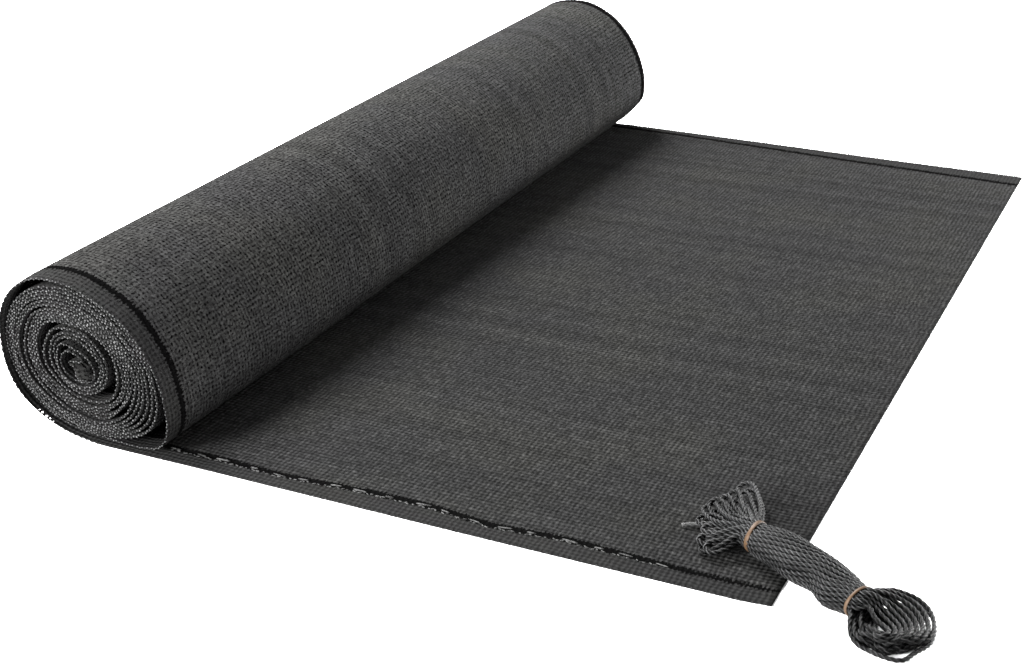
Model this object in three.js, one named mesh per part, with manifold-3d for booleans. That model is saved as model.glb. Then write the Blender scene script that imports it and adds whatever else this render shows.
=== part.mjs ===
// Balcony privacy screen: one length of knitted cloth wound on itself into a loose oval roll, with its
// outer end drawn out flat on the floor and a hank of its fixing cord lying over the free corner.
// The roll and the loose end are two solids that meet under the roll, where the cloth lies flat.
// Millimetres, +Z up. +X runs from the roll to the cut end and +Y runs along the roll.

import * as THREE from 'three';
import { mergeVertices } from 'three/addons/utils/BufferGeometryUtils.js';
import Module from 'manifold-3d';

const wasm = await Module();
wasm.setup();

// Cloth
const CLOTH_WIDTH = 900;
const CLOTH_THICKNESS = 1;
const MEETING_X = 40;
const LIFT_OFF_X = 12;
const WRAP_STEPS_PER_POINT = 2;
const TUCK_POINTS = 4;
const STEPS_PER_TURN = 24;
const STEPS_PER_CORE_TURN = 16;
const CORE_TURN = 12;
const CLEARANCE = 0.3;

// Loose end: where its edges and the inner lines of its two hems run, from the roll to the cut end.
const HEM_THICKNESS = 1.7;
const HEM_STEP = 0.8;
const LOOSE_END = [
  { x: MEETING_X + CLEARANCE, nearEdge: 0, nearHem: 17, farHem: 889, farEdge: 901 },
  { x: 100, nearEdge: 0, nearHem: 17, farHem: 888, farEdge: 901 },
  { x: 150, nearEdge: -0.4, nearHem: 15, farHem: 886, farEdge: 900 },
  { x: 220, nearEdge: -0.8, nearHem: 20, farHem: 882, farEdge: 899 },
  { x: 265, nearEdge: -1.2, nearHem: 20, farHem: 879, farEdge: 898 },
  { x: 310, nearEdge: -1.5, nearHem: 14.5, farHem: 876, farEdge: 897 },
  { x: 360, nearEdge: -1.5, nearHem: 19, farHem: 874, farEdge: 896.5 },
  { x: 450, nearEdge: -1.5, nearHem: 15.5, farHem: 870, farEdge: 896 },
  { x: 485, nearEdge: -1.4, nearHem: 16, farHem: 868, farEdge: 896 },
  { x: 504, nearEdge: 0.5, nearHem: 17, farHem: 867, farEdge: 896 },
];

// Outer wrap: the middle of the cloth at the near and far ends of the roll, from where it leaves the
// floor, up the left side, over the top and down the right side to its tuck under the roll.
const OUTER_WRAP = [
  { nearX: 1, nearZ: 1.2, farX: 4, farZ: 1.2 },
  { nearX: -20, nearZ: 5, farX: -20, farZ: 4.8 },
  { nearX: -42.3, nearZ: 13.8, farX: -42, farZ: 14 },
  { nearX: -59.6, nearZ: 27.8, farX: -59, farZ: 29 },
  { nearX: -68.6, nearZ: 44.3, farX: -69, farZ: 47 },
  { nearX: -71.8, nearZ: 62, farX: -72, farZ: 67 },
  { nearX: -71, nearZ: 82, farX: -70, farZ: 89 },
  { nearX: -65.6, nearZ: 97, farX: -63, farZ: 107 },
  { nearX: -54.5, nearZ: 111.5, farX: -51, farZ: 122 },
  { nearX: -39.5, nearZ: 121, farX: -34, farZ: 133.5 },
  { nearX: -21, nearZ: 123.4, farX: -12, farZ: 138.6 },
  { nearX: 0, nearZ: 120.5, farX: 12, farZ: 137.3 },
  { nearX: 27, nearZ: 108.3, farX: 36.8, farZ: 126.3 },
  { nearX: 42, nearZ: 96, farX: 53.6, farZ: 111.4 },
  { nearX: 54, nearZ: 79.6, farX: 65.3, farZ: 95.2 },
  { nearX: 61.4, nearZ: 66, farX: 73.2, farZ: 78.4 },
  { nearX: 65.9, nearZ: 51.4, farX: 77.8, farZ: 61.8 },
  { nearX: 68.2, nearZ: 36.5, farX: 78.8, farZ: 48 },
  { nearX: 68, nearZ: 25, farX: 77.2, farZ: 35.6 },
  { nearX: 65, nearZ: 15, farX: 70, farZ: 25.6 },
  { nearX: 58, nearZ: 8, farX: 59.8, farZ: 14.4 },
  { nearX: 46, nearZ: 4.6, farX: 48, farZ: 5.2 },
  { nearX: 28, nearZ: 3, farX: 30, farZ: 3.2 },
];

// Inner turns: how far the cloth lies from the core in nine directions, which go clockwise from straight
// down as seen from the near end, and how far its near edge sits back from that of the outer wrap.
const CORE_NEAR = { x: -12, z: 56, scale: 1 };
const CORE_FAR = { x: -4, z: 62.5, scale: 1.1 };
const DIRECTIONS = {
  down: 0,
  downLeft: 45,
  left: 90,
  upLeft: 135,
  up: 180,
  upRight: 225,
  right: 270,
  lowRight: 300,
  downRight: 330,
};
const WINDING = [
  { turn: 1, down: 50, downLeft: 49.5, left: 58, upLeft: 63.5, up: 60, upRight: 59.5, right: 70.5,
    lowRight: 75.5, downRight: 59, recess: 5 },
  { turn: 6.6, down: 41, downLeft: 40, left: 48, upLeft: 50.5, up: 43, upRight: 45, right: 52,
    lowRight: 51.5, downRight: 48, recess: 5.5 },
  { turn: 7.6, down: 36.5, downLeft: 36, left: 42, upLeft: 45, up: 39.5, upRight: 42, right: 48.5,
    lowRight: 47, downRight: 44, recess: 7 },
  { turn: 11.6, down: 27.5, downLeft: 26.5, left: 33.3, upLeft: 36, up: 30.5, upRight: 32.5, right: 37,
    lowRight: 37.5, downRight: 33.5, recess: 7.5 },
  { turn: 12.6, down: 23.5, downLeft: 21.5, left: 25, upLeft: 27.5, up: 26, upRight: 25.5, right: 26.5,
    lowRight: 26, downRight: 24.5, recess: 8 },
  { turn: 14.6, down: 17, downLeft: 16.5, left: 18, upLeft: 20.5, up: 20, upRight: 19, right: 20,
    lowRight: 19.5, downRight: 18, recess: 7 },
  { turn: 15.6, down: 14, downLeft: 13.5, left: 15, upLeft: 17, up: 15.5, upRight: 15, right: 15.5,
    lowRight: 15, downRight: 14.5, recess: 6 },
  { turn: 18.2, down: 5, downLeft: 4.5, left: 5, upLeft: 5.5, up: 5, upRight: 4.5, right: 5,
    lowRight: 5, downRight: 5, recess: 4 },
];

// Hank: its body lies between two bands, on a line from the fan end on the cloth to the loop end on the
// floor. Sections give the distance along that line from the fan's band, how far the middle lies to one
// side of it, and the height of the underside.
const HANK_START = { x: 473, y: 56 };
const HANK_BEARING = -30;
const HANK_BODY = [
  { along: -13, aside: 0, halfWidth: 7, halfHeight: 6, underside: 4, ridge: 0 },
  { along: -3, aside: 0.3, halfWidth: 9.8, halfHeight: 8.8, underside: 3, ridge: 0.3 },
  { along: 4, aside: 0.5, halfWidth: 10.4, halfHeight: 9.4, underside: 3.2, ridge: 0 },
  { along: 11, aside: 1.2, halfWidth: 13.2, halfHeight: 10.6, underside: 1.6, ridge: 0.8 },
  { along: 20, aside: 2.6, halfWidth: 15.2, halfHeight: 11.2, underside: 1.4, ridge: 1 },
  { along: 32, aside: 3, halfWidth: 15.8, halfHeight: 11.3, underside: 1.4, ridge: 1 },
  { along: 44, aside: 2.2, halfWidth: 16.6, halfHeight: 11.3, underside: 1.2, ridge: 1 },
  { along: 53, aside: 3.2, halfWidth: 16, halfHeight: 11.2, underside: 0.8, ridge: 1 },
  { along: 61, aside: 4.2, halfWidth: 14.6, halfHeight: 11, underside: 0.8, ridge: 1 },
  { along: 69, aside: 2.4, halfWidth: 15.6, halfHeight: 11, underside: 0.3, ridge: 1 },
  { along: 77, aside: 0.2, halfWidth: 16.6, halfHeight: 10.8, underside: 0.2, ridge: 1 },
  { along: 85, aside: 0.2, halfWidth: 13.6, halfHeight: 10.2, underside: 1, ridge: 0.8 },
  { along: 94, aside: 0.6, halfWidth: 11, halfHeight: 9.6, underside: 2, ridge: 0 },
  { along: 100, aside: 0.6, halfWidth: 10.8, halfHeight: 9, underside: 1.6, ridge: 0.3 },
  { along: 108, aside: 0, halfWidth: 7, halfHeight: 6, underside: 2.4, ridge: 0 },
];
const HANK_RIDGES = 9;
const HANK_TWIST_DEG_PER_MM = -1.3;
const HANK_RING_POINTS = 36;
const HANK_RING_STEP = 5;

// Bands: thin elastic rings in the two waists of the hank.
const BAND_ALONG = { hank_band_fan: 4, hank_band_loops: 94 };
const BAND_CLEARANCE = 0.5;
const BAND_HALF_THICKNESS = 0.7;
const BAND_HALF_WIDTH = 1;
const BAND_STEPS = 32;
const BAND_SIDES = 8;

// Loops: bundles of turns that leave the two ends of the body and come back.
const LOOP_RADIUS = 3;
const LOOP_SIDES = 6;

// Narrow loops of the fan, one row for each bundle.
const FAN_LOOP_STEPS = 14;
const FAN_ROOT_HALF_SPAN = 3.4;
const FAN_ROOT_PAST_BAND = 9;
const FAN_ROOT_DEPTH = 2;
const FAN_NARROW_SHARE = 0.3;
const FAN_WIDE_SHARE = 0.7;
const FAN_LOOPS = [
  { bearing: 109, reach: 62, halfSpan: 4.5, height: 8.5 },
  { bearing: 117, reach: 52, halfSpan: 4.5, height: 6 },
  { bearing: 126, reach: 45, halfSpan: 4.5, height: 8.5 },
  { bearing: 138, reach: 43, halfSpan: 4.5, height: 6 },
  { bearing: 155, reach: 36, halfSpan: 4.2, height: 9.4 },
  { bearing: 187, reach: 26, halfSpan: 4.2, height: 8.5 },
  { bearing: 205, reach: 28, halfSpan: 4.2, height: 6 },
  { bearing: 226, reach: 29, halfSpan: 4, height: 6 },
];

// Wide loops of the other end: the way round the widest and the narrowest bundle, along and across the
// hank and up, and where each bundle lies between those two.
const WIDE_LOOP_STEPS = 22;
const WIDEST_LOOP = [
  { along: 98, across: 4, up: 13 },
  { along: 106.5, across: 16.5, up: 15 },
  { along: 113, across: 27, up: 12 },
  { along: 121.5, across: 30, up: 8.5 },
  { along: 129.5, across: 25, up: 6 },
  { along: 135.5, across: 12.5, up: 4.6 },
  { along: 135, across: 1, up: 3.8 },
  { along: 131, across: -8, up: 3.6 },
  { along: 125.5, across: -14.5, up: 3.5 },
  { along: 119, across: -17.5, up: 3.6 },
  { along: 112, across: -15, up: 4.6 },
  { along: 101, across: -4, up: 8 },
];
const NARROWEST_LOOP = [
  { along: 98, across: 0, up: 12 },
  { along: 105, across: -3, up: 13 },
  { along: 111, across: -5.5, up: 11.5 },
  { along: 117.5, across: -6, up: 9.5 },
  { along: 122.5, across: -6.5, up: 8 },
  { along: 126, across: -8.5, up: 6.8 },
  { along: 126.5, across: -11.5, up: 6 },
  { along: 124.5, across: -14, up: 5.4 },
  { along: 120.5, across: -14.5, up: 5 },
  { along: 115.5, across: -13.5, up: 5 },
  { along: 109.5, across: -11, up: 5.4 },
  { along: 101, across: -3, up: 7 },
];
const WIDE_LOOP_SHARES = [1, 0.8, 0.6, 0.4, 0.2];

// Loose end of the cord, from the fan to its tip on the cloth.
const CORD_DIAMETER = 3;
const CORD_SIDES = 8;
const CORD_STEP = 7;
const CORD_END_ROUTE = [
  { x: 447, y: 66.5, z: 3 },
  { x: 440, y: 68.2, z: 3 },
  { x: 432.5, y: 68, z: 2.9 },
  { x: 424, y: 65, z: 2.85 },
];

// Finishes
const CLOTH_FINISH = new THREE.MeshStandardMaterial({ color: 0x3b3b3c, roughness: 0.85, metalness: 0 });
const CORD_FINISH = new THREE.MeshStandardMaterial({ color: 0x2b2c2e, roughness: 0.6, metalness: 0 });
const BAND_FINISH = new THREE.MeshStandardMaterial({ color: 0xb08a58, roughness: 0.55, metalness: 0 });

const UP = new THREE.Vector3(0, 0, 1);

// Value between the two rows of a table that stand on either side of a place in one of its columns.
function between(rows, column, place, value) {
  const last = rows.length - 2;
  const found = rows.findIndex((row, i) => i <= last && place <= rows[i + 1][column]);
  const i = found < 0 ? last : found;
  const share = (place - rows[i][column]) / (rows[i + 1][column] - rows[i][column]);
  return THREE.MathUtils.lerp(value(rows[i]), value(rows[i + 1]), share);
}

// Smooth closed curve through one value for each direction, read at any angle in degrees.
function roundDirections(row, degrees) {
  const names = Object.keys(DIRECTIONS);
  const count = names.length;
  const angle = ((degrees % 360) + 360) % 360;
  const angleOf = (i) => DIRECTIONS[names[(i + count) % count]] + 360 * Math.floor(i / count);
  const valueOf = (i) => row[names[(i + count) % count]];
  const slopeOf = (i) => (valueOf(i + 1) - valueOf(i - 1)) / (angleOf(i + 1) - angleOf(i - 1));
  const i = names.findLastIndex((name) => DIRECTIONS[name] <= angle);
  const span = angleOf(i + 1) - angleOf(i);
  const s = (angle - angleOf(i)) / span;
  const rise = s * s * (3 - 2 * s);
  const ease = s * (1 - s);
  const bend = ease * (1 - s) * slopeOf(i) * span - ease * s * slopeOf(i + 1) * span;
  return THREE.MathUtils.lerp(valueOf(i), valueOf(i + 1), rise) + bend;
}

// Middle of the cloth at a place in the winding, counted in turns, at one end of the roll.
function windingPoint(turn, core) {
  const degrees = 360 * turn;
  const radius = core.scale * between(WINDING, 'turn', turn, (row) => roundDirections(row, degrees));
  const angle = THREE.MathUtils.degToRad(-90 - degrees);
  return new THREE.Vector2(core.x + radius * Math.cos(angle), core.z + radius * Math.sin(angle));
}

// Middle line of the roll's section at one of its ends, from its flat spot to the core.
function rollLine(wrapPoint, core, turns) {
  const floor = CLOTH_THICKNESS / 2;
  const flatStart = new THREE.Vector2(MEETING_X, floor);
  const liftOff = new THREE.Vector2(LIFT_OFF_X, floor);
  const round = [liftOff, ...OUTER_WRAP.map(wrapPoint), windingPoint(turns[0], core)];
  const wrap = new THREE.SplineCurve(round).getPoints((round.length - 1) * WRAP_STEPS_PER_POINT);
  return [flatStart, ...wrap.slice(0, -1), ...turns.map((turn) => windingPoint(turn, core))];
}

// Points half a thickness to either side of a middle line: the face towards the core and the outer face.
function clothFaces(line) {
  return line.map((point, i) => {
    const before = line[Math.max(i - 1, 0)];
    const after = line[Math.min(i + 1, line.length - 1)];
    const along = after.clone().sub(before).normalize();
    const inward = new THREE.Vector2(along.y, -along.x).multiplyScalar(CLOTH_THICKNESS / 2);
    return { inner: point.clone().add(inward), outer: point.clone().sub(inward) };
  });
}

// Closed skin over a row of rings of points, each ring running right-handed about the way the row goes.
function loft(rings, closed) {
  const count = rings[0].length;
  const points = rings.flat();
  const faces = [];
  const spans = closed ? rings.length : rings.length - 1;
  for (let i = 0; i < spans; i++) {
    const here = i * count;
    const next = ((i + 1) % rings.length) * count;
    for (let j = 0; j < count; j++) {
      const k = (j + 1) % count;
      faces.push(here + j, here + k, next + k, here + j, next + k, next + j);
    }
  }
  if (!closed) {
    const last = (rings.length - 1) * count;
    for (let j = 1; j < count - 1; j++) {
      faces.push(0, j + 1, j, last, last + j, last + j + 1);
    }
  }
  const geometry = new THREE.BufferGeometry().setFromPoints(points);
  geometry.setIndex(faces);
  geometry.computeVertexNormals();
  return geometry;
}

// Roll: the section's faces at the near end and at the far end, joined straight across the width.
function rollGeometry() {
  const turns = [];
  const lastTurn = WINDING.at(-1).turn;
  for (let i = 0; i <= (CORE_TURN - 1) * STEPS_PER_TURN; i++) {
    turns.push(1 + i / STEPS_PER_TURN);
  }
  for (let i = 1; i <= (lastTurn - CORE_TURN) * STEPS_PER_CORE_TURN; i++) {
    turns.push(CORE_TURN + i / STEPS_PER_CORE_TURN);
  }
  const near = clothFaces(rollLine((p) => new THREE.Vector2(p.nearX, p.nearZ), CORE_NEAR, turns));
  const far = clothFaces(rollLine((p) => new THREE.Vector2(p.farX, p.farZ), CORE_FAR, turns));
  const wrapEnd = near.length - turns.length;
  const rings = near.map((face, i) => {
    const turn = turns[i - wrapEnd];
    const tuck = THREE.MathUtils.smoothstep(i, wrapEnd - TUCK_POINTS * WRAP_STEPS_PER_POINT, wrapEnd);
    const back = turn ? between(WINDING, 'turn', turn, (row) => row.recess) : tuck * WINDING[0].recess;
    return [
      new THREE.Vector3(face.outer.x, back, face.outer.y),
      new THREE.Vector3(face.inner.x, back, face.inner.y),
      new THREE.Vector3(far[i].inner.x, CLOTH_WIDTH + back, far[i].inner.y),
      new THREE.Vector3(far[i].outer.x, CLOTH_WIDTH + back, far[i].outer.y),
    ];
  });
  return loft(rings, false);
}

// Loose end: a flat sheet with a raised hem along both edges.
function looseEndGeometry() {
  const rings = LOOSE_END.map(({ x, nearEdge, nearHem, farHem, farEdge }) => [
    new THREE.Vector3(x, nearEdge, 0),
    new THREE.Vector3(x, farEdge, 0),
    new THREE.Vector3(x, farEdge, HEM_THICKNESS),
    new THREE.Vector3(x, farHem, HEM_THICKNESS),
    new THREE.Vector3(x, farHem - HEM_STEP, CLOTH_THICKNESS),
    new THREE.Vector3(x, nearHem + HEM_STEP, CLOTH_THICKNESS),
    new THREE.Vector3(x, nearHem, HEM_THICKNESS),
    new THREE.Vector3(x, nearEdge, HEM_THICKNESS),
  ]);
  return loft(rings, false);
}

const hankAlong = new THREE.Vector3(1, 0, 0).applyAxisAngle(UP, THREE.MathUtils.degToRad(HANK_BEARING));
const hankAcross = UP.clone().cross(hankAlong);

// Middle of the hank's section at a distance along its body, with the section's half sizes.
function hankSection(along) {
  const read = (column) => between(HANK_BODY, 'along', along, (row) => row[column]);
  const halfHeight = read('halfHeight');
  const middle = new THREE.Vector3(HANK_START.x, HANK_START.y, read('underside') + halfHeight);
  middle.addScaledVector(hankAlong, along).addScaledVector(hankAcross, read('aside'));
  return { middle, halfHeight, halfWidth: read('halfWidth'), ridge: read('ridge') };
}

// Body of the hank: an oval section whose ridges, the main strands, turn as it goes along.
function hankBodyGeometry() {
  const stations = HANK_BODY.slice(1).flatMap((row, i) => {
    const start = HANK_BODY[i].along;
    const steps = Math.ceil((row.along - start) / HANK_RING_STEP);
    return Array.from({ length: steps }, (_, k) => THREE.MathUtils.lerp(start, row.along, k / steps));
  });
  stations.push(HANK_BODY.at(-1).along);
  const rings = stations.map((along) => {
    const { middle, halfHeight, halfWidth, ridge } = hankSection(along);
    const twist = THREE.MathUtils.degToRad(HANK_TWIST_DEG_PER_MM * along);
    const ring = [];
    for (let j = 0; j < HANK_RING_POINTS; j++) {
      const angle = (2 * Math.PI * j) / HANK_RING_POINTS;
      const dip = ridge * (0.5 - 0.5 * Math.cos(HANK_RIDGES * (angle - twist)));
      const point = middle.clone();
      point.addScaledVector(hankAcross, (halfWidth - dip) * Math.cos(angle));
      point.addScaledVector(UP, (halfHeight - dip) * Math.sin(angle));
      ring.push(point);
    }
    return ring;
  });
  return loft(rings, false);
}

// Round section of a cord or bundle, as a plain polygon.
function roundShape(radius, sides) {
  const corners = [];
  for (let i = 0; i < sides; i++) {
    const angle = (2 * Math.PI * i) / sides;
    corners.push(new THREE.Vector2(radius * Math.cos(angle), radius * Math.sin(angle)));
  }
  return new THREE.Shape(corners);
}

// Round section carried along a smooth path through some points.
function tube(points, radius, sides, steps) {
  const path = new THREE.CatmullRomCurve3(points, false, 'centripetal');
  return new THREE.ExtrudeGeometry(roundShape(radius, sides), { steps, extrudePath: path });
}

// Narrow bundle of turns: out from its root on one side, round its tip and back on the other side.
function fanLoopGeometry(row, root) {
  const bearing = THREE.MathUtils.degToRad(row.bearing);
  const outward = new THREE.Vector3(Math.cos(bearing), Math.sin(bearing), 0);
  const aside = UP.clone().cross(outward);
  const place = (reach, halfSpan, height) => {
    const point = root.clone().setZ(height);
    return point.addScaledVector(outward, reach).addScaledVector(aside, halfSpan);
  };
  const halfway = (row.height + root.z) / 2;
  return tube([
    place(-FAN_ROOT_DEPTH, FAN_ROOT_HALF_SPAN, root.z),
    place(FAN_NARROW_SHARE * row.reach, FAN_ROOT_HALF_SPAN, halfway),
    place(FAN_WIDE_SHARE * row.reach, row.halfSpan, row.height),
    place(row.reach, 0, row.height),
    place(FAN_WIDE_SHARE * row.reach, -row.halfSpan, row.height),
    place(FAN_NARROW_SHARE * row.reach, -FAN_ROOT_HALF_SPAN, halfway),
    place(-FAN_ROOT_DEPTH, -FAN_ROOT_HALF_SPAN, root.z),
  ], LOOP_RADIUS, LOOP_SIDES, FAN_LOOP_STEPS);
}

// Wide bundle of turns: a way round between the narrowest one and the widest.
function wideLoopGeometry(share) {
  const points = WIDEST_LOOP.map((wide, i) => {
    const read = (column) => THREE.MathUtils.lerp(NARROWEST_LOOP[i][column], wide[column], share);
    const point = new THREE.Vector3(HANK_START.x, HANK_START.y, read('up'));
    return point.addScaledVector(hankAlong, read('along')).addScaledVector(hankAcross, read('across'));
  });
  return tube(points, LOOP_RADIUS, LOOP_SIDES, WIDE_LOOP_STEPS);
}

// Closed geometry as a solid that can be joined to another.
function solidOf(geometry) {
  const bare = new THREE.BufferGeometry();
  bare.setAttribute('position', geometry.getAttribute('position'));
  bare.setIndex(geometry.index);
  const merged = mergeVertices(bare);
  const vertProperties = new Float32Array(merged.getAttribute('position').array);
  const triVerts = new Uint32Array(merged.index.array);
  return new wasm.Manifold(new wasm.Mesh({ numProp: 3, vertProperties, triVerts }));
}

// Geometry of a joined solid.
function geometryOf(solid) {
  const { vertProperties, triVerts } = solid.getMesh();
  const geometry = new THREE.BufferGeometry();
  geometry.setAttribute('position', new THREE.BufferAttribute(vertProperties, 3));
  geometry.setIndex(new THREE.BufferAttribute(triVerts, 1));
  geometry.computeVertexNormals();
  return geometry;
}

// Hank: the twisted body with the fan of narrow loops at one end and the wide loops at the other.
function hankGeometry() {
  const fanRoot = hankSection(BAND_ALONG.hank_band_fan - FAN_ROOT_PAST_BAND).middle;
  const loops = [
    ...FAN_LOOPS.map((row) => fanLoopGeometry(row, fanRoot)),
    ...WIDE_LOOP_SHARES.map(wideLoopGeometry),
  ];
  const joined = loops.reduce((solid, loop) => solid.add(solidOf(loop)), solidOf(hankBodyGeometry()));
  return geometryOf(joined);
}

// Band: a small oval section carried round a waist of the hank.
function bandGeometry(along) {
  const { middle, halfHeight, halfWidth } = hankSection(along);
  const proud = BAND_CLEARANCE + BAND_HALF_THICKNESS;
  const rings = [];
  for (let i = 0; i < BAND_STEPS; i++) {
    const angle = (2 * Math.PI * i) / BAND_STEPS;
    const wide = halfWidth + proud;
    const high = halfHeight + proud;
    const centre = middle.clone();
    centre.addScaledVector(hankAcross, wide * Math.cos(angle)).addScaledVector(UP, high * Math.sin(angle));
    const outward = hankAcross.clone().multiplyScalar(Math.cos(angle) / wide);
    outward.addScaledVector(UP, Math.sin(angle) / high).normalize();
    const ring = [];
    for (let j = 0; j < BAND_SIDES; j++) {
      const turn = (2 * Math.PI * j) / BAND_SIDES;
      const point = centre.clone().addScaledVector(outward, BAND_HALF_THICKNESS * Math.cos(turn));
      ring.push(point.addScaledVector(hankAlong, -BAND_HALF_WIDTH * Math.sin(turn)));
    }
    rings.push(ring);
  }
  return loft(rings, true);
}

// Loose end: a plain round length of cord.
function cordEndGeometry() {
  const points = CORD_END_ROUTE.map(({ x, y, z }) => new THREE.Vector3(x, y, z));
  const steps = Math.round(points[0].distanceTo(points.at(-1)) / CORD_STEP);
  return tube(points, CORD_DIAMETER / 2, CORD_SIDES, steps);
}

const screen = new THREE.Group();

function addNode(name, geometry, finish) {
  const mesh = new THREE.Mesh(geometry, finish);
  mesh.name = name;
  screen.add(mesh);
}

const CLOTH_NODES = ['screen_roll', 'screen_loose_end'];
addNode(CLOTH_NODES[0], rollGeometry(), CLOTH_FINISH);
addNode(CLOTH_NODES[1], looseEndGeometry(), CLOTH_FINISH);
addNode('cord_hank', hankGeometry(), CORD_FINISH);
addNode('cord_loose_end', cordEndGeometry(), CORD_FINISH);
for (const [name, along] of Object.entries(BAND_ALONG)) {
  addNode(name, bandGeometry(along), BAND_FINISH);
}

// Origin: on the floor, under the middle of the cloth.
const clothBox = new THREE.Box3();
CLOTH_NODES.forEach((name) => clothBox.expandByObject(screen.getObjectByName(name)));
const clothMiddle = clothBox.getCenter(new THREE.Vector3());
screen.position.set(-clothMiddle.x, -clothMiddle.y, -clothBox.min.z);

export default screen;
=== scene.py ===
"""Balcony privacy screen: one length of knitted cloth wound into a loose roll, with its outer end
drawn out flat on the floor and a hank of fixing cord lying over the free corner.

Tables are in millimetres in the part's own layout: x runs from the roll to the cut end, y along the
roll from its near end, z up. ORIGIN carries that layout into the frame, in metres."""

import math

import bpy
import numpy as np
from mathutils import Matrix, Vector


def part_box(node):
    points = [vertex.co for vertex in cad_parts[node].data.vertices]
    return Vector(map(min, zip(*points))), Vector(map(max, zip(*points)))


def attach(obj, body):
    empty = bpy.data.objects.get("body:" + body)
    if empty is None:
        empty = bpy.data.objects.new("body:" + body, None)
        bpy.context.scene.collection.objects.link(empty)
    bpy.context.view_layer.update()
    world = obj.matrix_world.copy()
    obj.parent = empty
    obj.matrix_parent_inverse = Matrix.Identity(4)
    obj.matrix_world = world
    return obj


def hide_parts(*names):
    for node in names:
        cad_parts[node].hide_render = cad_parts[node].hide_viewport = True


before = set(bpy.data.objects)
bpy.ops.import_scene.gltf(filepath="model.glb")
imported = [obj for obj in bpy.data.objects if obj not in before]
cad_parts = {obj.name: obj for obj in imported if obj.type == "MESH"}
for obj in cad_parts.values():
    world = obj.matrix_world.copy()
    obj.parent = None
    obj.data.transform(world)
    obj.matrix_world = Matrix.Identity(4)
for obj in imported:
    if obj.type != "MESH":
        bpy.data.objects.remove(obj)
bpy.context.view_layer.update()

MM = 0.001
CUT_END_X = 504.0
ORIGIN = np.array([
    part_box("screen_loose_end")[1][0] - CUT_END_X * MM,
    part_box("screen_roll")[0][1],
    0.0,
])

# Camera, read from the photograph's vanishing lines.
CAMERA_PLACE = (720.0, -831.0, 550.0)
CAMERA_TILT_DEG = 66.2
CAMERA_TURN_DEG = 25.0
CAMERA_SENSOR_MM = 36.0
CAMERA_LENS_MM = 58.36

# Cloth
CLOTH_WIDTH = 900.0
CLOTH_HALF_THICKNESS = 0.36
HEM_HALF_THICKNESS = 0.62
HEM_HALF_THICKNESS_MOST = 0.95
HEM_SPACING_SHARE = 0.45
MEETING_X = 40.0
LIFT_OFF_X = 12.0
FLOOR_GAP = 0.05
ROLL_NEAR_HEM = 18.5
ROLL_FAR_HEM = 8.0

# Rows of the cloth's flat part: from x, to x and how many.
FLAT_ROWS = ((CUT_END_X, 480.0, 9), (480.0, MEETING_X, 55), (MEETING_X, LIFT_OFF_X, 5))

# Rows past the flat part: by which the edges are those of the roll, up to which the cloth is kept
# above the floor, and between which it hangs free, with a thinner hem and open holes beside its
# near edge.
ON_ROLL_ROWS = 12
ON_FLOOR_ROWS = 8
FREE_ROWS = (11, 13, 17, 19)
FREE_HEM_THINNING = 0.6
SHEER_DEPTH = 5.0

# Heights of the cloth's middle between which its thickness stops lifting it.
LIFTED_BELOW = (0.5, 2.5)

# Loose end: x, near edge, inner line of the near hem, inner line of the far hem, far edge.
LOOSE_END = np.array([
    (40.3, 0, 17, 889, 901),
    (100, 0, 17, 888, 901),
    (150, -0.4, 15, 886, 900),
    (220, -0.8, 20, 882, 899),
    (265, -1.2, 20, 879, 898),
    (310, -1.5, 14.5, 876, 897),
    (360, -1.5, 19, 874, 896.5),
    (450, -1.5, 15.5, 870, 896),
    (485, -1.4, 16, 868, 896),
    (504, 0.5, 17, 867, 896),
])
NEAR_EDGE, NEAR_HEM, FAR_HEM, FAR_EDGE = 1, 2, 3, 4

# Outer wrap: the middle of the cloth at the near and far ends of the roll, as x and z pairs, from
# where it leaves the floor, up the left side, over the top and down to its tuck under the roll.
OUTER_WRAP = np.array([
    (1, 1.2, 4, 1.2),
    (-20, 5, -20, 4.8),
    (-42.3, 13.8, -42, 14),
    (-59.6, 27.8, -59, 29),
    (-68.6, 44.3, -69, 47),
    (-71.8, 62, -72, 67),
    (-71, 82, -70, 89),
    (-65.6, 97, -63, 107),
    (-54.5, 111.5, -51, 122),
    (-39.5, 121, -34, 133.5),
    (-21, 123.4, -12, 138.6),
    (0, 120.5, 12, 137.3),
    (27, 108.3, 36.8, 126.3),
    (42, 96, 53.6, 111.4),
    (54, 79.6, 65.3, 95.2),
    (61.4, 66, 73.2, 78.4),
    (65.9, 51.4, 77.8, 61.8),
    (68.2, 36.5, 78.8, 48),
    (68, 25, 77.2, 35.6),
    (65, 15, 70, 25.6),
    (58, 8, 59.8, 14.4),
    (46, 4.6, 48, 5.2),
    (28, 3, 30, 3.2),
])
WRAP_STEPS_PER_POINT = 5
TUCK_POINTS = 4

# Inner turns: turn number, distance from the core in nine directions that go clockwise from
# straight down, and how far the near edge sits back.
CORE_NEAR = (-12.0, 56.0, 1.0)
CORE_FAR = (-4.0, 62.5, 1.1)
DIRECTIONS_DEG = np.array([0.0, 45.0, 90.0, 135.0, 180.0, 225.0, 270.0, 300.0, 330.0])
WINDING = np.array([
    (1, 50, 49.5, 58, 63.5, 60, 59.5, 70.5, 75.5, 59, 5),
    (6.6, 41, 40, 48, 50.5, 43, 45, 52, 51.5, 48, 5.5),
    (7.6, 36.5, 36, 42, 45, 39.5, 42, 48.5, 47, 44, 7),
    (11.6, 27.5, 26.5, 33.3, 36, 30.5, 32.5, 37, 37.5, 33.5, 7.5),
    (12.6, 23.5, 21.5, 25, 27.5, 26, 25.5, 26.5, 26, 24.5, 8),
    (14.6, 17, 16.5, 17, 21.5, 20, 19.5, 21.5, 21, 19, 7),
    (15.25, 15.6, 14.8, 15.4, 17, 18, 18.4, 19.5, 18.5, 16.8, 6.2),
])
STEPS_PER_TURN = 62
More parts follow.
